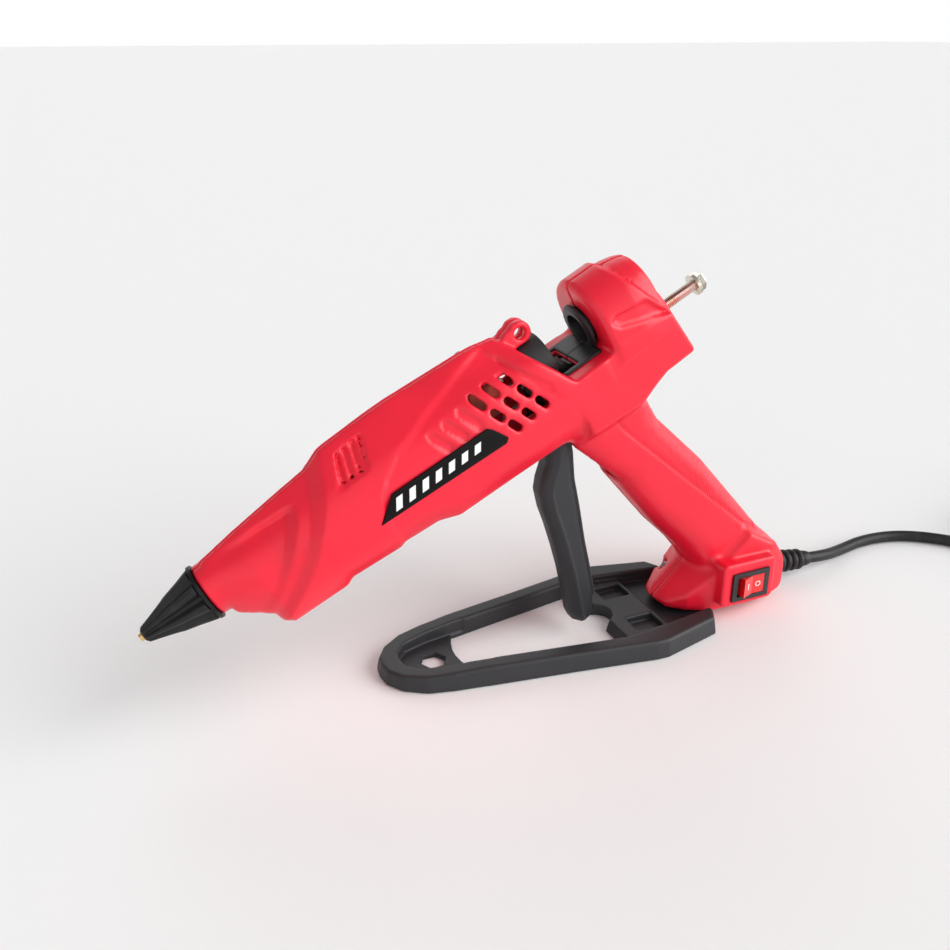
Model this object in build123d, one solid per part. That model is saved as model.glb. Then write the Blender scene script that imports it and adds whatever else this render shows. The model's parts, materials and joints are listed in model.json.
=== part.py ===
from build123d import *
import os
from math import atan2, cos, degrees, hypot, pi, radians, sin, tan

# Mains hot-melt glue gun resting nose-down on its clip-off stand. All sizes in millimetres.
#
# The gun is drawn in its own upright frame: X runs from the nozzle tip back along the glue
# stick, Y to the gun's right-hand side, Z up.  on_gun() then tips it nose-down onto the stand.
# The handle's base, the stand and the cord are drawn on the bench, floor at Z = 0.

# ---- driving dimensions ----
LEAN = 28.3                      # nose-down lean of the stick axis on the stand
TIP = (-158.4, 0, 47.3)          # nozzle tip on the bench
TO_CENTRE = 4.33                 # bench X zero to the middle of the gun's length
WALL = 2.2                       # housing wall
RUN = 0.05                       # radial clearance of a turning fit
PLAY = 0.3                       # gap round a sliding or swinging piece

BARREL_R = 11.0
RING_R = 12.6                    # insulating rings that carry the barrel in the housing
RING_AT = (74.0, 141.0)
COLLAR_R = 20.0
COLLAR_FRONT = 218.0
COLLAR_BACK = 255.0
SLOT_FLOOR = -8.0                # top edge of the feed slot's side walls
BUSH_R = 8.0
STICK_BORE_R = 6.5
LUG = (192.0, 15.6)              # centre of the hanging hole
LUG_HOLE_R = 2.5

PULL = 20.0                      # trigger travel, degrees
PIVOT = (184.0, -27.0)           # trigger pivot in the gun frame
ARM = 14.5                       # trigger arm above the pivot
JAW_PIVOT = (205.0, -13.5)
JAW_ARM = 9.0
LINK_PLAY = 0.4                  # slack of the jaw's hole round the link pin

HEATER_H = -15.5                 # height of the heater cartridge, under the barrel
ADJUST_H = -15.5                 # height of the adjuster screw
ADJUST_TIP = 216.0
ADJUST_HEAD = 274.0
ADJUST_R = 2.5

HANDLE_TOP = (46.0, 104.6)       # handle centre line on the bench, X and Z
HANDLE_FOOT = (118.0, 27.0)
HANDLE_DEEP = 31.6
HANDLE_WIDE = 30.0

SWITCH = (120.0, 18.6)           # rocker switch centre on the bench, X and Z
SWITCH_FACE = -24.0
BEZEL = (21.0, 15.0)
ROCKER_DEPTH = 3.2               # pivot behind the switch face
ROCKER_SWING = 20.0

STAND_H = 9.5                    # height of the stand's legs
DECK_H = 6.0
CORD_R = 3.0
RELIEF_START = (150.9, 0, 11.0)
RELIEF_END = (178.0, 0, 8.0)
RELIEF_LONG = hypot(RELIEF_END[0] - RELIEF_START[0], RELIEF_END[2] - RELIEF_START[2])

LEAD_R = 1.2                     # internal two-core lead
BADGE_SEAT = 23.9                # depth of the badge pockets, from the centre plane
PLUG_PITCH = 12.7                # spacing of the plug's flat blades
SCREW_SEAT = 8.0                 # housing screw head seat, Y
SCREW_SHANK_R = 1.45
SCREW_TIP_Y = -8.0

os.makedirs("parts", exist_ok=True)


# ---- helpers ----
def on_gun(part):
    return part.moved(Location(TIP, (0, -LEAN, 0)))


def gun_point(x, z, y=0.0):
    """A point of the gun frame, given on the bench."""
    lean = radians(LEAN)
    return (TIP[0] + x * cos(lean) - z * sin(lean), y, TIP[2] + x * sin(lean) + z * cos(lean))


def save(part, name):
    solids = [s for s in part.moved(Location((TO_CENTRE, 0, 0))).solids()]
    export_step(solids[0] if len(solids) == 1 else Compound(children=solids), f"parts/{name}.step")


def rod_x(x0, x1, r, y=0.0, z=0.0, end_r=None):
    """A round bar or cone along X."""
    turned = Location(((x0 + x1) / 2, y, z), (0, 90, 0))
    if end_r is None:
        return turned * Cylinder(r, x1 - x0)
    return turned * Cone(r, end_r, x1 - x0)


def rod_y(x, z, y0, y1, r):
    """A round bar along Y."""
    return Location((x, (y0 + y1) / 2, z), (90, 0, 0)) * Cylinder(r, y1 - y0)


def block(x0, x1, y0, y1, z0, z1):
    return Location(((x0 + x1) / 2, (y0 + y1) / 2, (z0 + z1) / 2)) * Box(x1 - x0, y1 - y0, z1 - z0)


def plate_xz(points, y0, y1):
    """A flat plate with an XZ outline, from y0 to y1."""
    face = Plane.XZ * make_face(Polyline(*points, close=True))
    return extrude(face, y1 - y0, dir=(0, 1, 0)).moved(Location((0, y0, 0)))


def plate_xy(points, z0, z1):
    face = make_face(Polyline(*points, close=True))
    return extrude(face, z1 - z0, dir=(0, 0, 1)).moved(Location((0, 0, z0)))


def station(x, ridge, shoulder, side, bottom, inset=0.0):
    """A peaked ten-sided cross-section of the body, drawn inset by a wall if asked."""
    ridge_y = 1.6 - 0.35 * inset
    sh_y, sh_z = shoulder[0] - 0.75 * inset, shoulder[1] - 0.7 * inset
    side_y = side[0] - inset
    bot_y, bot_z = bottom[0] - 0.5 * inset, bottom[1] + inset
    half = [
        (ridge_y, ridge - 1.25 * inset),
        (sh_y, sh_z),
        (side_y, side[1]),
        (side_y, side[2]),
        (bot_y, bot_z),
    ]
    ring = [(x, y, z) for y, z in half] + [(x, -y, z) for y, z in reversed(half)]
    return make_face(Polyline(*ring, close=True))


# Cross-sections of the front body: x, ridge, shoulder, (side, top, low), bottom.
BODY = [
    (34.0, 12.4, (8.5, 7.6), (11.4, 1.0, -4.0), (7.5, -10.5)),
    (55.0, 15.0, (13.0, 8.0), (17.6, 0.0, -13.0), (12.5, -22.5)),
    (93.0, 20.0, (17.5, 8.5), (22.0, 2.0, -16.0), (15.5, -24.5)),
    (101.0, 23.6, (19.0, 11.0), (24.0, 3.0, -16.5), (17.0, -25.0)),
    (131.0, 24.6, (19.5, 11.5), (24.4, 3.0, -18.0), (17.0, -27.5)),
    (165.0, 22.2, (19.0, 10.5), (24.2, 1.0, -21.0), (16.0, -33.0)),
    (184.0, 20.6, (18.0, 9.5), (22.6, 0.0, -23.0), (15.0, -35.0)),
    (206.0, 18.0, (16.0, 8.0), (20.4, -2.0, -23.0), (14.0, -35.0)),
]
REAR = [
    (200.0, (20.4, -25.0), (14.0, -35.0)),
    (256.0, (18.5, -25.0), (13.0, -33.5)),
]
SLANT = [(175.2, 30.0), (199.2, SLOT_FLOOR), (240.0, SLOT_FLOOR), (240.0, 30.0)]


def body_loft(inset):
    faces = []
    for i, (x, ridge, shoulder, side, bottom) in enumerate(BODY):
        at = x + inset if i == 0 else x
        faces.append(station(at, ridge, shoulder, side, bottom, inset))
    return loft(faces, ruled=True)


def rear_loft(inset):
    faces = []
    for i, (x, side, bottom) in enumerate(REAR):
        at = x - inset if i == len(REAR) - 1 else x
        y, z = side[0] - inset, side[1]
        by, bz = bottom[0] - 0.5 * inset, bottom[1] + inset
        top = SLOT_FLOOR
        ring = [(at, y, top), (at, y, z), (at, by, bz), (at, -by, bz), (at, -y, z), (at, -y, top)]
        faces.append(make_face(Polyline(*ring, close=True)))
    return loft(faces, ruled=True)


def slant_cut(shift):
    return plate_xz([(x - shift, z) if i < 2 else (x, z) for i, (x, z) in enumerate(SLANT)], -40, 40)


# Handle frame: along the centre line, from top to foot.
HANDLE_RUN = (HANDLE_FOOT[0] - HANDLE_TOP[0], HANDLE_FOOT[1] - HANDLE_TOP[1])
HANDLE_LONG = hypot(*HANDLE_RUN)
HANDLE_PITCH = degrees(atan2(-HANDLE_RUN[1], HANDLE_RUN[0]))


def handle_bar(inset, start, end):
    """The handle's rounded bar between two distances along its centre line."""
    outline = RectangleRounded(HANDLE_DEEP - 2 * inset, HANDLE_WIDE - 2 * inset, 11 - inset)
    bar = extrude(outline, end - start).moved(Location((0, 0, start)))
    return bar.moved(Location((HANDLE_TOP[0], 0, HANDLE_TOP[1]), (0, 90 + HANDLE_PITCH, 0)))


def handle_point(along, across, y=0.0):
    """A point on the bench, along the handle and across it towards the back."""
    pitch = radians(HANDLE_PITCH)
    return (
        HANDLE_TOP[0] + along * cos(pitch) + across * sin(pitch),
        y,
        HANDLE_TOP[1] - along * sin(pitch) + across * cos(pitch),
    )


def foot_solid(inset):
    """The boat-shaped base at the bottom of the handle."""
    side = [
        (79.0 + 2.2 * inset, 9.5 + inset),
        (84.0 + inset, 6.0 + inset),
        (106.0, 3.6 + inset),
        (130.0, 4.0 + inset),
        (148.0 - inset, 6.5 + inset),
        (150.5 - inset, 13.0),
        (147.0 - inset, 24.0),
        (140.0 - inset, 34.0),
        (118.0, 44.0 - inset),
        (97.0 + inset, 30.5 - inset),
    ]
    plan = [
        (78.0 + 2.0 * inset, 2.0),
        (82.0 + inset, 9.5 - inset),
        (91.0, 16.5 - inset),
        (104.0, 20.0 - inset),
        (140.0, 20.0 - inset),
        (150.5 - inset, 13.0 - 0.5 * inset),
    ]
    ring = plan + [(x, -y) for x, y in reversed(plan)]
    return plate_xz(side, -30, 30) & plate_xy(ring, -5, 60)


# Housing screws: (x, z) of each on the bench.
SCREWS = [
    gun_point(69, -17.4),
    gun_point(120, 16.4),
    gun_point(141, -22.0),
    gun_point(168, 15.6),
    gun_point(230, -25.5),
    handle_point(36, 0),
    handle_point(74, 0),
    (94.5, 0, 17.0),
    (140.5, 0, 26.0),
]


# ---- housing ----
def housing_outer():
    front = body_loft(0) - slant_cut(0)
    nose_ring = rod_x(31.0, 36.0, 11.0)
    collar = rod_x(COLLAR_FRONT, 248.0, COLLAR_R) + rod_x(248.0, COLLAR_BACK, COLLAR_R, end_r=16.0)
    lug = rod_y(*LUG, -4, 4, 5.2) + plate_xz([(176, 10), (187.5, 19), (194, 11), (190, 2)], -4, 4)
    gun = on_gun(front + nose_ring + rear_loft(0) + collar + lug)
    handle = handle_bar(0, -22, HANDLE_LONG - 6)
    frame = block(SWITCH[0] - 15.5, SWITCH[0] + 14.5, SWITCH_FACE, -12, 8.5, 31)
    hooks = [block(80, 86, *sorted((9 * side, 15 * side)), 3.2, 12) for side in (-1, 1)]
    return gun + handle + foot_solid(0) + frame + hooks


def housing_hollow():
    front = body_loft(WALL) - slant_cut(WALL + 0.6)
    under = body_loft(WALL) & block(150, 206, -40, 40, -60, SLOT_FLOOR)
    rear = rear_loft(WALL) & block(199, 253.5, -40, 40, -60, SLOT_FLOOR)
    ring = rod_x(COLLAR_FRONT + WALL, COLLAR_BACK - WALL - 4, COLLAR_R - WALL)
    ring -= rod_x(COLLAR_FRONT, COLLAR_BACK, BUSH_R + 2.2)
    slot = block(199, COLLAR_FRONT, -17.9, 17.9, -20, SLOT_FLOOR + 5)
    rear -= rod_x(COLLAR_FRONT, COLLAR_BACK, BUSH_R + 2.2)
    gun = on_gun(front + under + rear + ring + slot)
    return gun + handle_bar(WALL, -30, HANDLE_LONG - 8) + foot_solid(WALL)


def housing_ribs():
    """Everything moulded inside: barrel ribs, slide rails, pivot bosses, screw bosses."""
    ribs = []
    for x in RING_AT:
        ribs.append(block(x - 3, x + 3, -30, 30, -40, 30) - rod_x(x - 4, x + 4, RING_R + 0.1))
    for side in (-1, 1):
        y0, y1 = sorted((side * 13.6, side * 26))
        ribs.append(block(172, 216, y0, y1, -12 - PLAY - 2, -12 - PLAY))
        ribs.append(block(172, 216, y0, y1, -9.5 + PLAY, SLOT_FLOOR))
        y0, y1 = sorted((side * 8.4, side * 26))
        ribs.append(rod_y(*PIVOT, y0, y1, 4.0))
    ribs.append(rod_x(242, COLLAR_BACK, 5.2, z=ADJUST_H))
    gun = on_gun(Part() + ribs)
    bosses = []
    for x, _, z in SCREWS:
        bosses.append(rod_y(x, z, 0, 30, 4.7))
        bosses.append(rod_y(x, z, -30, 0, 3.4))
    return gun + bosses


def housing_cuts():
    """Openings that go through the walls and ribs."""
    cuts = [
        rod_x(30.0, 42.0, 9.0),
        rod_x(160, 206, 11.4),
        block(182, 206, -10.2, 10.2, -13, 0),
        block(137, 145, -5, 5, -17.1, -12),
        block(145, 163, -7.5, 7.5, -27, -17.1),
        rod_x(COLLAR_FRONT - 1, 260, BUSH_R + RUN),
        rod_x(ADJUST_TIP - 2, 262, ADJUST_R + 0.3, z=ADJUST_H),
        rod_x(243, 252, 3.6, z=ADJUST_H),
        rod_y(*LUG, -6, 6, LUG_HOLE_R),
        rod_y(*PIVOT, -19, 19, 2.0),
    ]
    for row in range(3):
        for column in range(3):
            x = 171.0 + 4.2 * row - 7.4 * column
            z = 10.8 - 8.4 * row - 0.5 * column
            for side in (-1, 1):
                vent = Location((x, side * 23, z), (90, 62, 0)) * SlotOverall(8.4, 4.0)
                cuts.append(extrude(vent, 7, both=True))
    gun = on_gun(Part() + cuts)
    x, z = SWITCH
    for side in (-1, 1):
        y0, y1 = sorted((side * BADGE_SEAT, side * 30))
        gun += on_gun(plate_xz(BADGE, y0, y1))
    seat = block(x - 9.6, x + 9.6, SWITCH_FACE - 1, -16, z - 6.6, z + 6.6)
    trigger_way = plate_xz([(6, 90), (8, 112), (42, 112), (53, 82), (44, 70)], -9.2, 9.2)
    cord_way = relief_bar(-8.0, 5.0, 4.6) + relief_bar(-3.1, -0.9, 6.7)
    gun = gun + seat + trigger_way + cord_way
    for x, _, z in SCREWS:
        gun += rod_y(x, z, -9, 0, SCREW_SHANK_R + RUN)
        gun += rod_y(x, z, 0, SCREW_SEAT, 1.7)
        gun += rod_y(x, z, SCREW_SEAT, 30, 3.3)
    return gun


def relief_bar(start, end, r, end_r=None):
    """A round bar along the strain relief's line, from start to end millimetres beyond the wall."""
    fall = degrees(atan2(RELIEF_START[2] - RELIEF_END[2], RELIEF_END[0] - RELIEF_START[0]))
    return rod_x(start, end, r, end_r=end_r).moved(Location(RELIEF_START, (0, fall, 0)))


def make_housing():
    outer = housing_outer()
    shell = outer - housing_hollow()
    solid = shell + (housing_ribs() & outer)
    solid -= housing_cuts()
    left = solid & block(-300, 300, -60, 0, -10, 300)
    right = solid & block(-300, 300, 0, 60, -10, 300)
    save(biggest(left), "housing_left")
    save(biggest(right), "housing_right")
    screws = []
    for x, _, z in SCREWS:
        shank = rod_y(x, z, SCREW_TIP_Y, SCREW_SEAT, SCREW_SHANK_R)
        head = rod_y(x, z, SCREW_SEAT, SCREW_SEAT + 2.2, 2.9)
        head -= rod_y(x, z, SCREW_SEAT + 1, SCREW_SEAT + 3, 1.0)
        screws.append(shank + head)
    save(Compound(children=[s.solid() for s in screws]), "housing_screws")


def biggest(part):
    """The largest solid: cuts can leave loose crumbs of rib."""
    return max(part.solids(), key=lambda s: s.volume)


# ---- nose and heater ----
def make_nose():
    tip = rod_x(0.0, 3.0, 1.6, end_r=2.2) + rod_x(3.0, 28.0, 2.2, end_r=6.0) + rod_x(28.0, 36.0, 6.0)
    tip += Location((38.0, 0, 0), (0, 90, 0)) * extrude(RegularPolygon(7.5, 6), 2, both=True)
    tip += rod_x(40.0, 44.0, 4.0)
    tip -= rod_x(-1.0, 45.0, 1.0)
    save(on_gun(tip), "nozzle")
    boot = rod_x(1.5, 15.0, 3.0, end_r=6.4) + rod_x(15.0, 29.5, 6.4, end_r=9.0)
    for k in range(12):
        fin = plate_xz([(2, 1), (2, 2.8), (15, 7.4), (15, 8.4), (29.5, 11.2), (29.5, 1)], -0.8, 0.8)
        boot += fin.rotate(Axis.X, 30 * k + 15)
    boot -= rod_x(-1, 3.2, 1.75, end_r=2.3) + rod_x(3.2, 28.0, 2.35, end_r=6.15) + rod_x(28.0, 30, 6.15)
    save(on_gun(boot), "nozzle_boot")
    ring = rod_x(29.6, 31.0, 12.3) - rod_x(29, 32, 6.3)
    save(on_gun(ring), "nose_washer")


def make_heater():
    barrel = rod_x(40.0, 57.0, 8.5) + rod_x(57.0, 146.0, BARREL_R) + rod_x(146.0, 157.0, 8.0)
    barrel += block(79, 132, -7, 7, -21, -6)
    barrel += block(94, 106, -6, 6, 5, 11.4)
    barrel -= rod_x(44.0, 60.0, 2.0, end_r=5.0) + rod_x(60.0, 158.0, 5.0, end_r=6.3)
    barrel -= rod_x(39.0, 44.2, 4.0 + RUN)
    barrel -= rod_x(78, 136, 3.3, z=HEATER_H)
    save(on_gun(barrel), "melt_barrel")
    save(on_gun(rod_x(79.5, 134.0, 3.25, z=HEATER_H)), "heater_cartridge")
    rings = [rod_x(x - 3, x + 3, RING_R) - rod_x(x - 4, x + 4, BARREL_R + 0.02) for x in RING_AT]
    save(Compound(children=[on_gun(r).solid() for r in rings]), "barrel_rings")
    cup = Location((100, 0, 11.4)) * Cylinder(5.5, 4.6, align=(Align.CENTER, Align.CENTER, Align.MIN))
    save(on_gun(cup), "thermostat")
    fuse = rod_x(86, 99, 2.0, y=-9.05, z=HEATER_H) + rod_x(82, 103, 0.5, y=-9.05, z=HEATER_H)
    save(on_gun(fuse), "thermal_fuse")
    sleeve = rod_x(146.2, 172.0, 10.0) - rod_x(146, 157.2, 8.0) - rod_x(157, 173, STICK_BORE_R)
    save(on_gun(sleeve), "inlet_sleeve")
    clip = rod_x(149.5, 153.5, 11.0) - rod_x(149, 154, 10.0)
    save(on_gun(clip), "sleeve_clamp")
    terminals = block(149, 161, -7, 7, -26.5, -19.5)
    save(on_gun(terminals), "terminal_block")
    leads = []
    for side in (-1, 1):
        y = 1.7 * side
        path = FilletPolyline((134.0, y, HEATER_H), (152.0, y, HEATER_H), (152.0, y, -19.5), radius=2.0)
        leads.append(on_gun(tube(path, 0.9)).solid())
    save(Compound(children=leads), "heater_leads")


# ---- feed mechanism ----
def link_ends():
    """Where the link's two pins stand at rest: on the trigger arm and on the jaw."""
    swing = radians(PULL / 2)
    return (PIVOT[0] + ARM * sin(swing), PIVOT[1] + ARM * cos(swing)), (
        JAW_PIVOT[0],
        JAW_PIVOT[1] - JAW_ARM,
    )


def make_feed():
    arm, jaw_low = link_ends()
    carriage = rod_x(185, 198, 10.5) - block(184, 199, -7.2, 7.2, -11, -9.2)
    for side in (-1, 1):
        y0, y1 = sorted((side * 7.2, side * 15))
        carriage += block(185, 212, y0, y1, -12, -9.5)
        y0, y1 = sorted((side * 7.0, side * 9.4))
        carriage += block(200, 212, y0, y1, -18, -9.5)
        carriage += block(186, 198, y0, y1, -10, -4)
    carriage += block(210, 212, -9.4, 9.4, -18.5, -9.5)
    carriage -= rod_x(184, 199, STICK_BORE_R)
    carriage -= rod_y(*JAW_PIVOT, -10, 10, 1.5)
    save(on_gun(carriage), "feed_carriage")

    jaw = rod_y(*JAW_PIVOT, -4, 4, 4.2) + rod_y(*jaw_low, -4, 4, 2.9)
    jaw += block(JAW_PIVOT[0] - 1.8, JAW_PIVOT[0] + 1.8, -4, 4, jaw_low[1], JAW_PIVOT[1])
    tooth = [(199.6, -6.75), (200.6, -7.6), (201.4, -6.75), (202.4, -7.6), (203.2, -6.75)]
    tooth += [(208, -13), (202, -14.5)]
    jaw += plate_xz(tooth, -4, 4)
    jaw -= rod_y(*JAW_PIVOT, -5, 5, 1.5 + RUN) + rod_y(*jaw_low, -5, 5, 1.5 + LINK_PLAY)
    save(on_gun(jaw), "clamp_jaw")
    save(on_gun(rod_y(*JAW_PIVOT, -9.4, 9.4, 1.5)), "jaw_pin")
    save(on_gun(rod_y(*jaw_low, -6.8, 6.8, 1.5)), "jaw_link_pin")

    links = []
    rise = atan2(jaw_low[1] - arm[1], jaw_low[0] - arm[0])
    nx, nz = -sin(rise) * 2.6, cos(rise) * 2.6
    for side in (-1, 1):
        y0, y1 = sorted((side * 4.5, side * 6.5))
        corners = [
            (arm[0] + nx, arm[1] + nz),
            (jaw_low[0] + nx, jaw_low[1] + nz),
            (jaw_low[0] - nx, jaw_low[1] - nz),
            (arm[0] - nx, arm[1] - nz),
        ]
        link = plate_xz(corners, y0, y1) + rod_y(*arm, y0, y1, 2.6) + rod_y(*jaw_low, y0, y1, 3.1)
        link -= rod_y(*arm, -9, 9, 1.5 + RUN) + rod_y(*jaw_low, -9, 9, 1.5)
        links.append(on_gun(link).solid())
    save(Compound(children=links), "feed_links")
    save(on_gun(rod_y(*arm, -6.8, 6.8, 1.5)), "trigger_link_pin")

    hub_x, _, hub_z = gun_point(*PIVOT)
    arm_x, _, arm_z = gun_point(*arm)
    lever = [(hub_x - 5.5, hub_z), (arm_x - 2.4, arm_z + 0.5)]
    lever += [(arm_x + 2.4, arm_z - 0.5), (hub_x + 5.5, hub_z)]
    trigger = plate_xz(lever, -4, 4) + rod_y(arm_x, arm_z, -4, 4, 2.6)
    trigger += rod_y(hub_x, hub_z, -8, 8, 6.0)
    front = [(hub_x - 5.0, hub_z), (11.0, 97.0), (10.6, 84.0), (15.0, 68.5), (21.5, 48.0), (31.6, 14.0)]
    back = [(34.0, 9.4), (38.5, 8.6), (42.0, 12.0), (44.0, 24.0), (37.0, 52.0), (32.4, 74.0), (27.0, 95.0)]
    trigger += plate_xz(front + back + [(hub_x + 5.5, hub_z)], -7.8, 7.8)
    trigger -= rod_y(arm_x, arm_z, -9, 9, 1.5) + rod_y(hub_x, hub_z, -9, 9, 2.0 + RUN)
    trigger -= block(hub_x - 7, hub_x + 7, 5.0, 9, hub_z - 4.6, hub_z + 8)
    save(trigger, "trigger")
    save(rod_y(hub_x, hub_z, -16, 16, 2.0), "trigger_pin")
    coil = rod_y(hub_x, hub_z, 5.2, 7.9, 3.4) - rod_y(hub_x, hub_z, 5, 8, 2.3)
    save(coil, "return_spring")


# ---- rear collar and adjuster ----
def make_rear():
    bushing = rod_x(217.0, 253.0, BUSH_R) + rod_x(216.2, 218.0, 10.8) + rod_x(253.0, 257.0, BUSH_R)
    bushing -= rod_x(210, 260, STICK_BORE_R)
    save(on_gun(bushing), "rear_bushing")
    nut = rod_x(243.2, 251.8, 3.5, z=ADJUST_H) - rod_x(242, 253, ADJUST_R + RUN, z=ADJUST_H)
    save(on_gun(nut), "adjuster_nut")
    screw = rod_x(ADJUST_TIP, ADJUST_HEAD, ADJUST_R, z=ADJUST_H)
    middle = Location((ADJUST_HEAD + 1.7, 0, ADJUST_H), (0, 90, 0))
    head = middle * extrude(RegularPolygon(4.4, 6), 1.7, both=True)
    head -= block(ADJUST_HEAD + 2.2, ADJUST_HEAD + 4, -6, 6, ADJUST_H - 0.6, ADJUST_H + 0.6)
    save(on_gun(screw + head), "adjuster_screw")
    washer = rod_x(ADJUST_HEAD - 1.5, ADJUST_HEAD, 5.0, z=ADJUST_H)
    washer -= rod_x(ADJUST_HEAD - 2, ADJUST_HEAD + 1, ADJUST_R + RUN, z=ADJUST_H)
    save(on_gun(washer), "adjuster_washer")


# ---- switch and wiring in the base ----
def make_switch():
    x, z = SWITCH
    half_x, half_z = BEZEL[0] / 2, BEZEL[1] / 2
    body = block(x - half_x, x + half_x, SWITCH_FACE - 1.6, SWITCH_FACE, z - half_z, z + half_z)
    body += block(x - 9.4, x + 9.4, SWITCH_FACE, -9.5, z - 6.4, z + 6.4)
    body -= block(x - 7.8, x + 7.8, SWITCH_FACE - 2, -15.5, z - 5.2, z + 5.2)
    for side in (-1, 1):
        z0, z1 = sorted((z + side * 5.0, z + side * 5.9))
        body -= Location((x, SWITCH_FACE + ROCKER_DEPTH, (z0 + z1) / 2)) * Cylinder(0.85, 1.4)
    save(body, "switch_body")
    outline = [(-6.7, -6.0), (0, -4.7), (6.7, -6.0), (6.0, 0.8), (0, 2.6), (-6.0, 0.8)]
    rocker = plate_xy(outline, -5.0, 5.0) + Cylinder(0.78, 11.6)
    rocker = rocker.moved(Location((x, SWITCH_FACE + ROCKER_DEPTH, z), (0, 0, ROCKER_SWING / 2)))
    save(rocker, "switch_rocker")
    tabs = [block(x + dx - 0.4, x + dx + 0.4, -9.5, -3.5, z - 2.4, z + 2.4) for dx in (-6, 6)]
    save(Compound(children=[t.solid() for t in tabs]), "switch_terminals")


def tube(path, r):
    start = path @ 0
    along = path % 0
    return sweep(Plane(origin=start, z_dir=along) * Circle(r), path=path)


def make_wiring():
    clamp = block(129, 139, -9.2, 9.2, 7.8, 18.6) - relief_bar(-30, 0, CORD_R + 0.02)
    screws = []
    for y in (-6.2, 6.2):
        hole = Location((134, y, 13)) * Cylinder(1.25, 20)
        shank = Location((134, y, 13.1)) * Cylinder(1.2, 11)
        head = Location((134, y, 19.3)) * Cylinder(2.1, 1.4)
        clamp -= hole
        screws.append(shank + head)
    save(clamp, "cord_clamp")
    save(Compound(children=[s.solid() for s in screws]), "clamp_screws")
    route = [
        (126.0, -3.5, 20.0),
        (126.0, 5.0, 20.0),
        handle_point(88, 9.2, 8.6),
        handle_point(10, 9.2, 9.6),
        gun_point(206, -20.6, 10.8),
        gun_point(174, -20.8, 11.5),
        gun_point(167, -23.0, 3.0),
        gun_point(161, -23.0, 3.0),
    ]
    path = FilletPolyline(*route, radius=LEAD_R * 2)
    save(tube(path, LEAD_R), "switch_leads")


# ---- badges and plug ----
BADGE = [(101.4, -7.8), (111.4, 1.2), (156.6, 0.2), (158.4, -1.6), (162.4, -8.6), (160.7, -10.4)]


def make_badges():
    for side, name in ((-1, "badge_left"), (1, "badge_right")):
        y0, y1 = sorted((side * BADGE_SEAT, side * (BADGE_SEAT + 0.8)))
        save(on_gun(plate_xz(BADGE, y0, y1)), name)


def make_plug():
    x, y, z = TAIL_ROUTE[-1]
    body = Location((x, y + 15.0, z)) * Box(24, 26, 17)
    body = chamfer(body.edges().filter_by(Axis.Y), 4.5)
    body += Location((x, y + 1.0, z), (-90, 0, 0)) * Cone(4.2, 6.2, 2.0)
    save(body, "plug_body")
    blades = []
    for side in (-1, 1):
        bx = x + side * PLUG_PITCH / 2
        blades.append(block(bx - 0.75, bx + 0.75, y + 28.0, y + 45.5, z - 3.2, z + 3.2))
    save(Compound(children=[b.solid() for b in blades]), "plug_blades")


# ---- stand ----
def stand_edge(x, grow):
    """Half-width of the stand's outer edge at x."""
    return 26.2 + (x + 16.0) * 0.163 + grow


def stand_outline(grow):
    nose_r = 19.0 + grow
    pts = []
    for k in range(9):
        a = pi - (pi - radians(100)) * k / 8
        pts.append((-42.0 + nose_r * cos(a) * 0.98, (nose_r + 2.6) * sin(a)))
    pts += [(x, stand_edge(x, grow)) for x in (-16.0, 20.0, 58.0)]
    pts += [(66.0, 39.2 + grow), (97.0, 31.8 + grow), (101.5, 24.0 + grow)]
    return pts + [(x, -y) for x, y in reversed(pts) if abs(y) > 0.01]


def make_stand():
    stand = plate_xy(stand_outline(0), 0, 3) + plate_xy(stand_outline(-1.2), 3, STAND_H)
    stand -= plate_xy(
        [(-21, -15.5), (-24, -5), (-24, 5), (-21, 15.5), (49, 27.0), (49, -27.0)], -1, 50
    )
    deck = [(49, 27.0), (62, 26.4), (104, 20.2)]
    deck += [(x, -y) for x, y in reversed(deck)]
    stand -= plate_xy(deck, DECK_H, 50)
    stand -= plate_xy([(-48, -10), (-48, 10), (-34, 14.0), (-15, 17), (-15, -17), (-34, -14.0)], 5.0, 50)
    stand -= plate_xz([(48, -1), (52, DECK_H), (48, DECK_H + 1)], -27, 27)
    stand -= Location((49, 0, 0)) * Cylinder(7.0, 30)
    stand -= plate_xy([(76, 24.2), (104, 20.2), (104, -20.2), (76, -24.2)], 3.0, 50)
    stand -= block(60, 77, -22, -10, 2.2, 50) + block(60, 77, 10, 22, 2.2, 50)
    hexagon = extrude(RegularPolygon(5.75, 6, rotation=30), 20, both=True)
    stand -= hexagon.moved(Location((-36, 0, 0)))
    save(biggest(stand), "stand")


# ---- cord ----
CORD_ROUTE = [
    (178.0, 0.0, 8.0),
    (190.0, 0.0, 6.672),
    (206.0, 6.0, 3.2),
    (228.0, 10.5, 3.1),
    (251.0, 7.0, 3.1),
    (271.0, -8.0, 3.1),
    (285.0, -30.0, 3.1),
    (305.0, -66.0, 3.1),
]
COIL_AT = (338.0, -36.0)
COIL_R = (20.0, 48.6)            # inner and outer radius of the coil's turns
COIL_H = 12.4
TAIL_ROUTE = [(383.6, -37.0, 9.2), (385.2, -22.0, 8.9), (389.0, -9.0, 8.5)]


def filleted(route):
    """The route as straight runs joined by tangent arcs, and the arcs' radii."""
    points = [Vector(*p) for p in route]
    radii = []
    for a, b, c in zip(points, points[1:], points[2:]):
        turn = radians((b - a).get_angle(c - b))
        radii.append(0.45 * min((b - a).length, (c - b).length) / tan(turn / 2))
    return FilletPolyline(*route, radius=radii), radii


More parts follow.
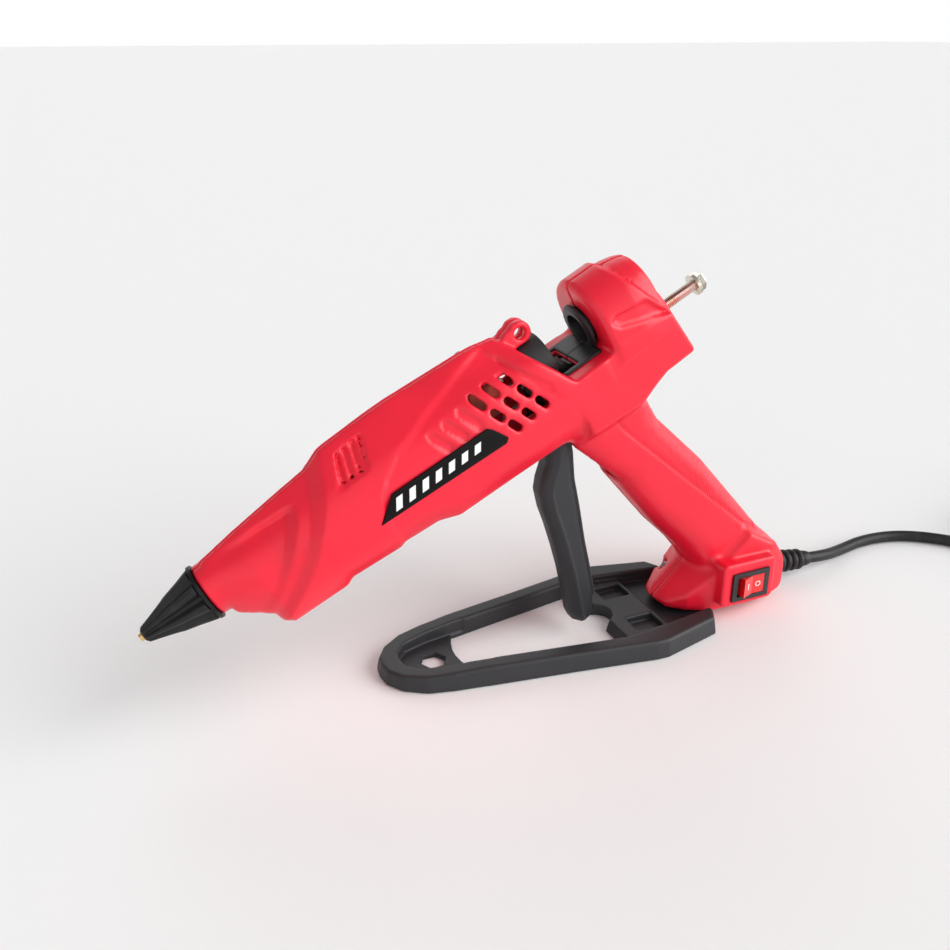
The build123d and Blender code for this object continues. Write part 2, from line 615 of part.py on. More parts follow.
def make_cord():
    relief = relief_bar(-3.0, -1.0, 6.6) + relief_bar(-1.0, 0.0, 4.5)
    relief += relief_bar(0.0, 21.0, 5.4, end_r=4.6) + relief_bar(21.0, 28.0, 4.2, end_r=3.6)
    for k in range(6):
        relief += relief_bar(1.0 + 3.6 * k, 3.2 + 3.6 * k, 6.1 - 0.14 * k)
    relief -= relief_bar(-6.0, 30.0, CORD_R + 0.02)
    save(relief, "strain_relief")
    inner = relief_bar(-22.0, RELIEF_LONG, CORD_R)
    save(inner, "cord_entry")
    for name, route in (("power_cord", CORD_ROUTE), ("cord_tail", TAIL_ROUTE)):
        path, radii = filleted(route)
        cord = tube(path, CORD_R)
        print(name, "radii", [round(r, 1) for r in radii], "length", round(path.length, 1),
              "volume ratio", round(cord.volume / (pi * CORD_R**2 * path.length), 4))
        save(cord, name)
    ring = Cylinder(COIL_R[1], COIL_H) - Cylinder(COIL_R[0], COIL_H + 1)
    save(ring.moved(Location((*COIL_AT, COIL_H / 2))), "cord_coil")


BUILD = (
    make_housing,
    make_nose,
    make_heater,
    make_feed,
    make_rear,
    make_switch,
    make_wiring,
    make_badges,
    make_stand,
    make_cord,
    make_plug,
)
for make in BUILD:
    make()
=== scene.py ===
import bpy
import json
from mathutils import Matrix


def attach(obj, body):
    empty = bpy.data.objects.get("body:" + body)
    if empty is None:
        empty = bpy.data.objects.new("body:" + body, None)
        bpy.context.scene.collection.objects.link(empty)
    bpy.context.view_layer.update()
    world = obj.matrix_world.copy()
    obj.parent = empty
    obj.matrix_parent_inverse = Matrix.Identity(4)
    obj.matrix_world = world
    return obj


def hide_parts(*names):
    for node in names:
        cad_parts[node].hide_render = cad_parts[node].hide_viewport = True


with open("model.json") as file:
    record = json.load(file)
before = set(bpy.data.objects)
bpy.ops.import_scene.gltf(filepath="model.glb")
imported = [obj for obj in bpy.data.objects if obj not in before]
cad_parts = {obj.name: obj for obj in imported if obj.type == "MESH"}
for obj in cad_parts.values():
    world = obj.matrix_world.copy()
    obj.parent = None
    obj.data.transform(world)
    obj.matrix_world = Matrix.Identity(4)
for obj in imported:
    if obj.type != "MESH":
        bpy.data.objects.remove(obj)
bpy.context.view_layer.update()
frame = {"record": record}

import json
from functools import reduce
from itertools import product
from math import cos, hypot, pi, radians, sin

import bmesh
import bpy
import numpy as np
from mathutils import Vector

bl_info = {
    "name": "Hot glue gun",
    "version": (1, 0, 0),
    "blender": (4, 5, 0),
    "location": "3D View > Sidebar > Glue gun",
    "description": "Moulded shells, stand, trigger, nose, cord and finishes of a mains hot glue gun",
    "category": "Object",
}

MM = 0.001

# ---- places taken from the frame ----
MOUNTS = {m["name"]: m for m in frame["record"]["mounts"]}
INLET = MOUNTS["stick_inlet"]
INLET_AT = 240.0                      # the inlet mount's distance behind the nozzle tip
AXIS = Vector(INLET["axis"]).normalized()
LIFT = Vector((-AXIS.z, 0.0, AXIS.x))  # square to the stick axis, towards the top of the gun
TIP = Vector(INLET["pos_m"]) - AXIS * INLET_AT * MM
LEAN_COS, LEAN_SIN = AXIS.x, AXIS.z
# The bench frame has its zero a little in front of the middle of the gun, as in the part's source.
TO_CENTRE = 4.33
TIP_X, TIP_Z = TIP.x / MM - TO_CENTRE, TIP.z / MM

WALL = 2.2
PART_GAP = 0.06                       # half the gap between the two shells
SLOT_FLOOR = -8.0
RING_AT = (74.0, 141.0)
RING_R = 12.6
BUSH_R = 8.0
LUG = (192.0, 15.6)
PIVOT = (184.0, -27.0)
ADJUST_H = -15.5
HANDLE_TOP, HANDLE_FOOT = (46.0, 104.6), (118.0, 27.0)
SWITCH = (120.0, 18.6)
SWITCH_FACE = -24.0
ROCKER_AXLE = 3.2                     # the rocker's axle, behind the switch's face
ROCKER_HALF, ROCKER_PEAK, ROCKER_DROP = 6.7, -6.0, 1.3
ROCKER_SWING = radians(10)            # the rocker leans this much at rest
MARK_OUT, MARK_LIFT = 3.2, 0.05
BADGE = [(101.4, -7.8), (111.4, 1.2), (156.6, 0.2), (158.4, -1.6), (162.4, -8.6), (160.7, -10.4)]
BADGE_SEAT = 23.9
RELIEF_START, RELIEF_END = (150.9, 0.0, 11.0), (178.0, 0.0, 8.0)
CORD_R = 3.0


def on_gun(s, h, y=0.0):
    """Gun-frame millimetres to the row frame in metres."""
    return TIP + AXIS * s * MM + LIFT * h * MM + Vector((0, y * MM, 0))


def on_bench(x, y, z):
    """Bench millimetres to the row frame in metres."""
    return Vector(((x + TO_CENTRE) * MM, y * MM, z * MM))


def bench_of(s, h):
    """Gun-frame millimetres, numbers or arrays, to the bench's x and z."""
    return TIP_X + s * LEAN_COS - h * LEAN_SIN, TIP_Z + s * LEAN_SIN + h * LEAN_COS


# ---- what a user would change ----
class GlueGunLook(bpy.types.PropertyGroup):
    shell_colour: bpy.props.FloatVectorProperty(
        name="Shell colour", description="Colour of the moulded shells",
        default=(0.84, 0.009, 0.034), subtype="COLOR", size=3, min=0, max=1)
    dark_colour: bpy.props.FloatVectorProperty(
        name="Stand colour", description="Colour of the stand and the trigger",
        default=(0.019, 0.020, 0.023), subtype="COLOR", size=3, min=0, max=1)
    shell_cell: bpy.props.FloatProperty(
        name="Shell mesh size", description="Edge length of the shells' mesh",
        default=0.00088, min=0.0006, max=0.003, unit="LENGTH", subtype="DISTANCE")
    small_cell: bpy.props.FloatProperty(
        name="Small mesh size", description="Edge length of the stand's, trigger's and plug's mesh",
        default=0.0007, min=0.0004, max=0.003, unit="LENGTH", subtype="DISTANCE")
    key_power: bpy.props.FloatProperty(
        name="Key light", description="Strength of the soft sun lamp at the front right",
        default=3.0, min=0.0)
    sky: bpy.props.FloatProperty(
        name="Surroundings", description="Brightness of the pale room", default=1.0, min=0.0)


def look():
    return bpy.context.scene.glue_gun


# ---- shader maths ----
class Signal:
    """A socket that takes part in Python expressions; each operation adds its Math node."""

    def __init__(self, finish, socket):
        self.finish = finish
        self.socket = socket

    def _math(self, operation, *values):
        node = self.finish.add("ShaderNodeMath", {"operation": operation}, dict(enumerate(values)))
        return Signal(self.finish, node.outputs[0])

    def __add__(self, other):
        return self._math("ADD", self, other)

    __radd__ = __add__

    def __mul__(self, other):
        return self._math("MULTIPLY", self, other)

    def __sub__(self, other):
        return self._math("SUBTRACT", self, other)

    def __rsub__(self, other):
        return self._math("SUBTRACT", other, self)

    def sine(self):
        return self._math("SINE", self)

    def over(self, low, high):
        """0 below low, 1 above high, smooth between."""
        inputs = {"Value": self, "From Min": low, "From Max": high}
        node = self.finish.add("ShaderNodeMapRange", {"interpolation_type": "SMOOTHSTEP"}, inputs)
        return Signal(self.finish, node.outputs["Result"])


class Finish:
    """A material and its nodes, built from one principled shader."""

    def __init__(self, name, colour, rough, **sockets):
        self.material = bpy.data.materials.new(name)
        self.material.use_nodes = True
        self.tree = self.material.node_tree
        self.shader = self.tree.nodes["Principled BSDF"]
        self.colour = (*colour, 1.0)
        self.shader.inputs["Base Color"].default_value = self.colour
        self.shader.inputs["Roughness"].default_value = rough
        for socket, value in sockets.items():
            self.shader.inputs[socket.replace("_", " ")].default_value = value
        self.height = None

    def add(self, kind, settings, inputs):
        node = self.tree.nodes.new(kind)
        for key, value in settings.items():
            setattr(node, key, value)
        for key, value in inputs.items():
            if isinstance(value, Signal):
                self.tree.links.new(value.socket, node.inputs[key])
            else:
                node.inputs[key].default_value = value
        return node

    def place(self):
        node = self.add("ShaderNodeTexCoord", {}, {})
        return Signal(self, node.outputs["Object"])

    def noise(self, size, detail=2.0, stretch=None):
        """Grain whose lumps are about size millimetres."""
        place = self.place()
        if stretch:
            scaled = self.add("ShaderNodeVectorMath", {"operation": "MULTIPLY"}, {0: place, 1: stretch})
            place = Signal(self, scaled.outputs[0])
        inputs = {"Vector": place, "Scale": 1.0 / (size * MM), "Detail": detail}
        node = self.add("ShaderNodeTexNoise", {}, inputs)
        return Signal(self, node.outputs[0])

    def mix(self, factor, a, b):
        inputs = {0: factor, 6: a, 7: b}
        node = self.add("ShaderNodeMix", {"data_type": "RGBA"}, inputs)
        return Signal(self, node.outputs[2])

    def along(self, direction):
        """Distance along a direction in the row frame, in millimetres."""
        inputs = {0: self.place(), 1: tuple(Vector(direction) / MM)}
        node = self.add("ShaderNodeVectorMath", {"operation": "DOT_PRODUCT"}, inputs)
        return Signal(self, node.outputs["Value"])

    def edges(self, low, high):
        """1 on outer edges, where parts get rubbed."""
        node = self.add("ShaderNodeNewGeometry", {}, {})
        return Signal(self, node.outputs["Pointiness"]).over(low, high)

    def send(self, name, signal):
        self.tree.links.new(signal.socket, self.shader.inputs[name])

    def bump(self, height, millimetres, strength=1.0):
        inputs = {"Height": height, "Distance": millimetres * MM, "Strength": strength}
        if self.height is not None:
            inputs["Normal"] = self.height
        node = self.add("ShaderNodeBump", {}, inputs)
        self.height = Signal(self, node.outputs["Normal"])
        self.send("Normal", self.height)


def shade(colour, factor):
    return tuple(min(1.0, c * factor) for c in colour[:3]) + (1.0,)


# ---- finishes ----
def moulded(name, colour, rough, grain=0.5, depth=0.02, wear=1.35, **sockets):
    """Injection-moulded plastic: fine spark-eroded texture, soft tone drift, rubbed edges."""
    f = Finish(name, colour, rough, **sockets)
    drift = f.noise(38.0, 3.0).over(0.35, 0.7)
    speck = f.noise(grain, 2.0)
    tone = f.mix(drift, shade(colour, 0.93), shade(colour, 1.05))
    worn = f.mix(f.edges(0.52, 0.62) * 0.5, tone, shade(colour, wear))
    f.send("Base Color", worn)
    f.send("Roughness", rough - 0.05 + speck * 0.1 + drift * 0.04)
    f.bump(speck, depth)
    return f


def shell_plastic():
    """The red shells: satin texture, with fine slanting lines pressed into the backstrap."""
    colour = tuple(look().shell_colour)
    f = moulded("red_shell_plastic", colour, 0.34, 0.55, 0.018, 1.1,
                Specular_IOR_Level=0.45, Coat_Weight=0.06, Coat_Roughness=0.3)
    run = Vector((HANDLE_FOOT[0] - HANDLE_TOP[0], 0, HANDLE_FOOT[1] - HANDLE_TOP[1])).normalized()
    back = Vector((-run.z, 0, run.x))
    start = on_bench(HANDLE_TOP[0], 0, HANDLE_TOP[1])
    across = f.along(back) - start.dot(back) / MM
    down = f.along(run) - start.dot(run) / MM
    panel = across.over(10.6, 11.2) * down.over(9.0, 12.0) * (1.0 - down.over(92.0, 95.0))
    lines = ((down + across * 0.8) * 3.6).sine()
    f.bump(lines * panel, 0.11)
    return f.material


def rubber(name, colour, rough=0.62):
    f = Finish(name, colour, rough, Specular_IOR_Level=0.35)
    dust = f.noise(6.0, 4.0).over(0.45, 0.75)
    f.send("Base Color", f.mix(dust, shade(colour, 0.8), shade(colour, 1.9)))
    f.send("Roughness", rough - 0.06 + dust * 0.16)
    f.bump(f.noise(0.35, 2.0), 0.03)
    return f.material


def metal(name, colour, rough, brushed=None, tint=None):
    """Plated or machined metal, with drawn lines along one direction where asked."""
    f = Finish(name, colour, rough, Metallic=1.0)
    lines = f.noise(0.5, 3.0, brushed) if brushed else f.noise(0.8, 3.0)
    stain = f.noise(5.0, 4.0).over(0.4, 0.75)
    f.send("Base Color", f.mix(stain, shade(colour, 1.0), tint or shade(colour, 0.72)))
    f.send("Roughness", rough - 0.05 + lines * 0.16 + stain * 0.06)
    f.bump(lines, 0.008)
    return f.material


def glossy(name, colour, rough=0.16, coat=0.5, shine=0.5):
    """Gloss plastic film or moulding with faint handling haze."""
    f = Finish(name, colour, rough, Coat_Weight=coat, Coat_Roughness=0.08, Specular_IOR_Level=shine)
    haze = f.noise(7.0, 4.0).over(0.4, 0.8)
    f.send("Roughness", rough + haze * 0.1)
    f.send("Base Color", f.mix(haze, shade(colour, 0.94), shade(colour, 1.06)))
    f.bump(f.noise(1.4, 2.0), 0.006)
    return f.material


def ceramic(name, colour):
    f = Finish(name, colour, 0.7)
    pores = f.noise(0.6, 4.0)
    f.send("Base Color", f.mix(pores.over(0.4, 0.7), shade(colour, 0.9), shade(colour, 1.03)))
    f.send("Roughness", 0.62 + pores * 0.14)
    f.bump(pores, 0.03)
    return f.material


_finishes = {}


def finish(name):
    """Each finish is made once, when the first piece asks for it."""
    dark = tuple(look().dark_colour)
    makers = {
        "shell": shell_plastic,
        "stand": lambda: moulded(
            "charcoal_textured_plastic", dark, 0.5, 0.45, 0.035, 2.2).material,
        "black": lambda: moulded(
            "black_moulded_plastic", (0.012, 0.012, 0.013), 0.42, 0.5, 0.02, 2.4).material,
        "boot": lambda: rubber("nose_boot_rubber", (0.010, 0.010, 0.011), 0.5),
        "cord": lambda: rubber("cord_sheath_rubber", (0.012, 0.012, 0.013), 0.5),
        "relief": lambda: rubber("strain_relief_rubber", (0.014, 0.014, 0.015), 0.48),
        "badge": lambda: glossy("badge_black_gloss", (0.004, 0.004, 0.004), 0.3, 0.0, 0.15),
        "marks": lambda: glossy("printed_white", (0.82, 0.82, 0.82), 0.35),
        "rocker": lambda: glossy("rocker_clear_red", (0.78, 0.008, 0.012), 0.1),
        "nickel": lambda: metal(
            "nickel_plate", (0.72, 0.69, 0.62), 0.2, (1.0, 6.0, 1.0), (0.62, 0.52, 0.38, 1.0)),
        "steel": lambda: metal("blackened_steel", (0.20, 0.20, 0.21), 0.36, (1.0, 4.0, 1.0)),
        "dark_steel": lambda: metal("dark_spring_steel", (0.035, 0.035, 0.037), 0.4),
        "brass": lambda: metal("turned_brass", (0.74, 0.52, 0.22), 0.26, (1.0, 6.0, 1.0)),
        "cast": lambda: metal("cast_alloy", (0.58, 0.58, 0.59), 0.46),
        "ceramic": lambda: ceramic("fired_ceramic", (0.82, 0.80, 0.75)),
        "silicone": lambda: rubber("red_silicone", (0.42, 0.07, 0.045), 0.55),
        "lead": lambda: rubber("glass_sleeve", (0.72, 0.70, 0.66), 0.7),
    }
    if name not in _finishes:
        _finishes[name] = makers[name]()
    return _finishes[name]


# ---- solid fields: negative inside, in millimetres ----
def smax(a, b, k=1.0):
    """Intersection with its edge rounded over about k."""
    near = np.maximum(k - np.abs(a - b), 0) / k
    return np.maximum(a, b) + near * near * (k * 0.25)


def smin(a, b, k=1.0):
    return -smax(-a, -b, k)


def both(*fields):
    """Sharp intersection of any number of fields."""
    return reduce(np.maximum, fields)


def cut(a, b, k=0.8):
    """a with b taken away."""
    return smax(a, -b, k)


def ramp(value, width):
    return np.clip(value / width, 0, 1)


def outline(p, q, points):
    """Signed distance to a closed outline in a plane."""
    away = np.full(np.broadcast(p, q).shape, 1e9, np.float32)
    flips = np.ones_like(away)
    for (ax, az), (bx, bz) in zip(points, points[-1:] + points[:-1]):
        ex, ez = bx - ax, bz - az
        wx, wz = p - ax, q - az
        t = np.clip((wx * ex + wz * ez) / (ex * ex + ez * ez), 0, 1)
        dx, dz = wx - ex * t, wz - ez * t
        away = np.minimum(away, dx * dx + dz * dz)
        a, b, c = q >= az, q < bz, ex * wz > ez * wx
        flips = np.where((a & b & c) | (~a & ~b & ~c), -flips, flips)
    return (flips * np.sqrt(away)).astype(np.float32)


def track(p, q, points):
    """Distance to an open line through points."""
    away = np.full(np.broadcast(p, q).shape, 1e9, np.float32)
    for (ax, az), (bx, bz) in zip(points, points[1:]):
        ex, ez = bx - ax, bz - az
        t = np.clip(((p - ax) * ex + (q - az) * ez) / (ex * ex + ez * ez), 0, 1)
        away = np.minimum(away, (p - ax - ex * t) ** 2 + (q - az - ez * t) ** 2)
    return np.sqrt(away)


def slab(value, low, high):
    return np.maximum(low - value, value - high)


def circle(p, q, centre, r):
    return np.sqrt((p - centre[0]) ** 2 + (q - centre[1]) ** 2) - r


def capsule(p, q, centre, degrees, long, wide):
    """A round-ended slot; degrees is its slant from the first axis."""
    a = radians(degrees)
    u = (p - centre[0]) * cos(a) + (q - centre[1]) * sin(a)
    v = (q - centre[1]) * cos(a) - (p - centre[0]) * sin(a)
    u = u - np.clip(u, -(long - wide) / 2, (long - wide) / 2)
    return np.sqrt(u * u + v * v) - wide / 2


def grid(low, high, cell):
    return [np.arange(a - 2 * cell, b + 3 * cell, cell).astype(np.float32) for a, b in zip(low, high)]


def spread(axes):
    return axes[0][:, None, None], axes[1][None, :, None], axes[2][None, None, :]


def sample(field, at):
    """The field between its grid points."""
    at = np.clip(at, 0, np.array(field.shape) - 1.001)
    base = at.astype(int)
    f = at - base
    total = 0
    for corner in product((0, 1), repeat=3):
        weight = np.prod([f[:, n] if c else 1 - f[:, n] for n, c in enumerate(corner)], axis=0)
        total = total + weight * field[tuple((base + corner).T)]
    return total


def skin(field, axes):
    """The field's zero surface as vertices in its own frame and outward quads."""
    for axis in range(3):
        ends = np.moveaxis(field, axis, 0)
        ends[0] = np.maximum(ends[0], 0.5)
        ends[-1] = np.maximum(ends[-1], 0.5)
    inside = field < 0
    core = tuple(n - 1 for n in field.shape)
    count = np.zeros(core, np.int8)
    for c in product((0, 1), repeat=3):
        count += inside[tuple(slice(o, n + o) for o, n in zip(c, core))]
    mixed = (count > 0) & (count < 8)
    number = np.full(core, -1, np.int64)
    base = np.argwhere(mixed)
    number[mixed] = np.arange(len(base))
    total = np.zeros((len(base), 3))
    hits = np.zeros(len(base))
    for axis in range(3):
        step = np.eye(3, dtype=int)[axis]
        for a, b in product((0, 1), repeat=2):
            offset = np.roll(np.array([0, a, b]), axis)
            fp = field[tuple((base + offset).T)]
            fq = field[tuple((base + offset + step).T)]
            crossed = (fp < 0) != (fq < 0)
            t = np.where(crossed, fp / np.where(crossed, fp - fq, 1), 0)
            total += (offset + step * t[:, None]) * crossed[:, None]
            hits += crossed
    at = base + total / hits[:, None]
    for _ in range(2):
        value = sample(field, at)
        slope = np.stack([sample(field, at + d) - sample(field, at - d) for d in np.eye(3) * 0.5], 1)
        move = slope * (value / np.maximum((slope**2).sum(1), 1e-6))[:, None]
        at = at - np.clip(move, -0.35, 0.35)
    quads = []
    for axis in range(3):
        low = np.take(inside, range(inside.shape[axis] - 1), axis)
        high = np.take(inside, range(1, inside.shape[axis]), axis)
        edge = np.argwhere(low != high)
        u, v = np.eye(3, dtype=int)[(axis + 1) % 3], np.eye(3, dtype=int)[(axis + 2) % 3]
        ring = np.stack([number[tuple((edge - o).T)] for o in (u + v, v, 0 * u, u)], 1)
        leaving = low[tuple(edge.T)]
        quads.append(np.where(leaving[:, None], ring, ring[:, ::-1]))
    cell = axes[0][1] - axes[0][0]
    return at * cell + [a[0] for a in axes], np.concatenate(quads)


# ---- making objects ----
def ring_faces(rows, count):
    """Quads between rings of count vertices each."""
    return [(i * count + k, i * count + (k + 1) % count,
             (i + 1) * count + (k + 1) % count, (i + 1) * count + k)
            for i in range(rows) for k in range(count)]


def tube_faces(rows, count):
    """Quads between rings, and a flat face over each end."""
    ends = [tuple(reversed(range(count))), tuple(range(rows * count, (rows + 1) * count))]
    return ring_faces(rows, count) + ends


def piece(name, verts, faces, look_name, body, replaces=(), sharp=None):
    mesh = bpy.data.meshes.new(name)
    mesh.from_pydata([tuple(v) for v in verts], [], [tuple(int(i) for i in f) for f in faces])
    mesh.validate()
    mesh.shade_smooth()
    if sharp is not None:
        mesh.set_sharp_from_angle(angle=radians(sharp))
    obj = bpy.data.objects.new(name, mesh)
    bpy.context.scene.collection.objects.link(obj)
    mesh.materials.append(finish(look_name))
    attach(obj, body)
    if replaces:
        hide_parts(*replaces)
    return obj


def cell_size(kind):
    fine = getattr(look(), kind) / MM
    return fine


def moulding(name, field, axes, to_row, look_name, body, replaces=()):
    """A piece whose surface is the zero of a field; to_row turns its vertices into the row frame."""
    verts, faces = skin(field, axes)
    return piece(name, to_row(verts), faces, look_name, body, replaces)


def gun_rows(verts, side=1):
    s, y, h = verts[:, 0:1] * MM, verts[:, 1] * MM * side, verts[:, 2:3] * MM
    out = np.array(TIP) + s * np.array(AXIS) + h * np.array(LIFT)
    out[:, 1] += y
    return out


def bench_rows(verts):
    return (verts + [TO_CENTRE, 0, 0]) * MM


def turned(name, profile, start, along, look_name, body, replaces=(),
           segments=48, sharp=35, wave=None):
    """A lathe-turned piece: profile is (distance, radius) in mm from start along a direction."""
    along = Vector(along).normalized()
    side = along.cross(Vector((0, 1, 0))).normalized()
    if side.length < 0.5:
        side = Vector((1, 0, 0))
    up = along.cross(side)
    verts, faces = [], []
    for d, r in profile:
        for k in range(segments):
            a = 2 * pi * k / segments
            rr = r * (wave(d, a) if wave else 1.0)
            verts.append(start + (along * d + side * rr * cos(a) + up * rr * sin(a)) * MM)
    closed = profile[0] == profile[-1]
    rows = len(profile) - 1
    for i in range(rows):
        for k in range(segments):
            m = (k + 1) % segments
            j = (i + 1) % rows if closed else i + 1
            faces.append((i * segments + k, j * segments + k, j * segments + m, i * segments + m))
    if closed:
        verts = verts[: rows * segments]
    else:
        faces.append(tuple(range(segments)))
        faces.append(tuple(reversed(range(rows * segments, (rows + 1) * segments))))
    made = piece(name, verts, faces, look_name, body, replaces, sharp)
    bm = bmesh.new()
    bm.from_mesh(made.data)
    bmesh.ops.recalc_face_normals(bm, faces=bm.faces)
    bm.to_mesh(made.data)
    bm.free()
    made.data.set_sharp_from_angle(angle=radians(sharp))
    return made


def dress(look_name, *nodes):
    """Gives CAD nodes a finish; their shape stays."""
    for node in nodes:
        mesh = bpy.data.objects[node].data
        mesh.materials.clear()
        mesh.materials.append(finish(look_name))


# ---- the shells ----
# Distance, ridge, shoulder y and h, side y with its top and low h, bottom y and h.
BODY = [
    (34.0, 15.0, 10.5, 9.2, 14.0, 1.5, -4.5, 9.5, -13.4),
    (52.0, 17.8, 14.5, 10.2, 20.5, 1.0, -13.0, 14.5, -27.2),
    (77.0, 21.0, 17.0, 11.0, 23.4, 2.0, -15.5, 16.5, -26.8),
    (80.5, 21.4, 17.2, 11.0, 23.5, 2.0, -16.0, 16.0, -25.4),
    (101.0, 23.7, 19.0, 11.2, 24.0, 3.0, -16.5, 17.0, -26.4),
    (122.0, 24.5, 19.4, 11.6, 24.3, 3.0, -17.5, 17.0, -28.2),
    (131.0, 24.5, 19.5, 11.5, 24.4, 3.0, -19.0, 17.0, -32.0),
    (165.0, 22.6, 19.0, 10.8, 24.2, 1.0, -21.0, 16.0, -33.6),
    (184.0, 20.8, 18.2, 9.6, 22.8, 0.0, -23.0, 15.0, -35.0),
    (206.0, 18.0, 16.0, 8.0, 20.4, -2.0, -23.0, 14.0, -35.0),
]
HANDLE_SIDE = [
    (28.0, 99.0), (51.6, 79.8), (75.0, 52.4), (88.4, 39.4), (101.0, 24.0), (141.0, 16.0),
    (147.8, 20.5), (148.0, 25.5), (134.0, 39.8), (96.6, 81.4), (70.0, 106.0), (60.0, 122.0),
    (26.0, 122.0),
]
FOOT_SIDE = [
    (79.0, 9.0), (84.0, 5.2), (106.0, 3.0), (130.0, 3.0), (146.0, 5.0), (151.0, 9.5), (151.5, 15.0),
    (149.0, 22.5), (140.0, 34.0), (118.0, 46.0), (100.0, 29.5),
]
FOOT_PLAN = [
    (77.5, 0.0), (82.0, 8.6), (91.0, 15.0), (103.0, 18.6), (136.0, 19.4), (147.0, 16.5),
    (151.8, 11.0), (151.8, 0.0),
]
BACKSTRAP = [
    (57.0, 126.0), (46.0, 120.5), (43.2, 112.5), (49.9, 106.0), (122.7, 44.9), (128.5, 42.5),
    (131.0, 46.0),
]
RIB_PANEL = [(102.6, 20.4), (115.5, 21.0), (109.8, 12.0), (94.6, 11.2)]
COLLAR_WEDGE = [(222.6, 3.4), (226.0, 6.0), (241.4, 3.8), (250.6, -9.6), (225.4, -0.4)]
VENT_NOTCH = [(177.4, 17.2), (175.5, 13.6), (188.2, -4.4), (190.4, -3.4)]
TRIGGER_WAY = [(6, 90), (8, 112), (42, 112), (53, 82), (44, 70)]


def handle_point(along, across):
    run = (HANDLE_FOOT[0] - HANDLE_TOP[0], HANDLE_FOOT[1] - HANDLE_TOP[1])
    long = hypot(*run)
    return (HANDLE_TOP[0] + (along * run[0] - across * run[1]) / long,
            HANDLE_TOP[1] + (along * run[1] + across * run[0]) / long)


SCREWS = [
    *[bench_of(s, h) for s, h in ((69, -17.4), (120, 16.4), (141, -22.0), (168, 15.6), (230, -25.5))],
    handle_point(36, 0), handle_point(74, 0), (94.5, 17.0), (140.5, 26.0),
]
ROOF_SCREW = 3                        # this one stands under the sloping roof, so its tip is shorter


def front_body(S, Y, H):
    """The faceted front body, stepped down twice towards the nose."""
    table = np.array(BODY)
    ridge, sh_y, sh_h, side, top, low, bot_y, bot = (
        np.interp(S, table[:, 0], table[:, n]).astype(np.float32) for n in range(1, 9))
    corners = [(1.4, ridge), (sh_y, sh_h), (side, top), (side, low), (bot_y, bot)]
    body = H - ridge + 0 * Y
    for (ay, ah), (by, bh), round_by in zip(corners, corners[1:], (1.2, 1.8, 2.4, 4.5)):
        ny, nh = ah - bh, by - ay
        size = np.sqrt(ny * ny + nh * nh)
        body = smax(body, ((Y - ay) * ny + (H - ah) * nh) / size, round_by)
    body = smax(body, bot - 1.7 - H + 0 * Y, 5.0)
    u = H - 1.3
    back_step = 80.0 + 1.0 * u - 0.0078 * u * u
    front_step = 66.6 + 1.05 * H - 0.006 * H * H
    roof = 13.4 + (S - 49) * 0.02
    body = body + 2.7 * (1 - ramp(S - back_step + 6.0, 6.0))
    panel = (1 - ramp(S - front_step + 4.5, 4.5)) * (1 - ramp(H - roof + 2.2, 2.2))
    body = body + 2.0 * panel * ramp(S - 40.0, 22.0)
    return smax(body, 35.4 - S + 0 * Y, 1.2)


def side_details(body, S, Y, H):
    """Panel steps, ribbed recess, blind slots and vents on each side of the front body."""
    crest = np.interp(S, (104.0, 108.0, 113.0, 122.0, 140.0, 177.0, 186.0),
                      (-6.0, 3.0, 7.6, 12.2, 16.4, 22.4, 23.8))
    body = body + 0.9 * ramp(crest - H, 2.6) * ramp(S - 103.5, 2.5) * (1 - ramp(S - 184, 10))
    back_line = (S - 176.4) * 0.86 + (H - 17.0) * 0.5
    body = body + 1.1 * ramp(-back_line, 1.2) * ramp(S - 150, 24) * ramp(H + 12, 9) * ramp(20.5 - H, 5)
    panel = outline(S, H, RIB_PANEL)
    across = bench_of(S, H)[0] + 73.8
    rib = 0.5 + 0.5 * np.cos(across * 2 * pi / 3.34)
    body = body + ramp(-panel, 0.7) * (0.7 + 1.3 * rib * ramp(across + 5.4, 0.6))
    notch = outline(S, H, VENT_NOTCH)
    body = body + 1.0 * ramp(-notch, 1.2)
    for k in range(3):
        blind = capsule(S, H, (153.2 - 7.4 * k, 5.6 - 0.3 * k), -64, 12.0, 4.2)
        body = body + 0.8 * ramp(-blind, 0.4)
    badge = outline(S, H, BADGE) - 0.35
    return cut(body, np.maximum(badge, BADGE_SEAT - Y), 0.5)


def rear_body(S, Y, H):
    side = np.interp(S, (200, 256), (20.6, 19.6)).astype(np.float32)
    bottom = np.interp(S, (196, 222, 238, 254), (-36.0, -37.6, -32.4, -32.0)).astype(np.float32)
    body = smax(Y - side, H - SLOT_FLOOR, 1.2)
    body = smax(body, bottom - H, 4.0)
    body = smax(body, 196 - S, 1.0)
    return smax(body, S - 249.8 + (H + 9.1) * 0.165, 1.4)


def collar(S, Y, H):
    profile_s = (218.4, 219.6, 221.8, 236.0, 240.0, 245.0, 248.6, 251.0)
    profile_r = (16.0, 19.2, 20.5, 20.6, 20.2, 19.2, 17.8, 15.6)
    radius = np.interp(S, profile_s, profile_r).astype(np.float32)
    lower = np.sqrt(Y * Y + np.maximum(H, 0) ** 2)
    drum = smax(lower - radius, slab(S, 219.4, 250.6), 0.8)
    drum = smax(drum, SLOT_FLOOR - 6 - H, 1.0)
    return drum + 2.0 * ramp(S - 234.6 - (20.0 - H) * 0.5, 1.4) * ramp(H + 6.0, 8.0)


def switch_frame(X, Y, Z):
    """The raised frame that holds the switch."""
    box = smax(slab(X, 104.0, 134.8), slab(Z, 8.4, 31.2), 3.0)
    box = smax(box, Y - 24.6, 1.2)
    return smax(box, 12 - Y, 1.0)


def relief_axis():
    dx, dz = RELIEF_END[0] - RELIEF_START[0], RELIEF_END[2] - RELIEF_START[2]
    long = hypot(dx, dz)
    return dx / long, dz / long


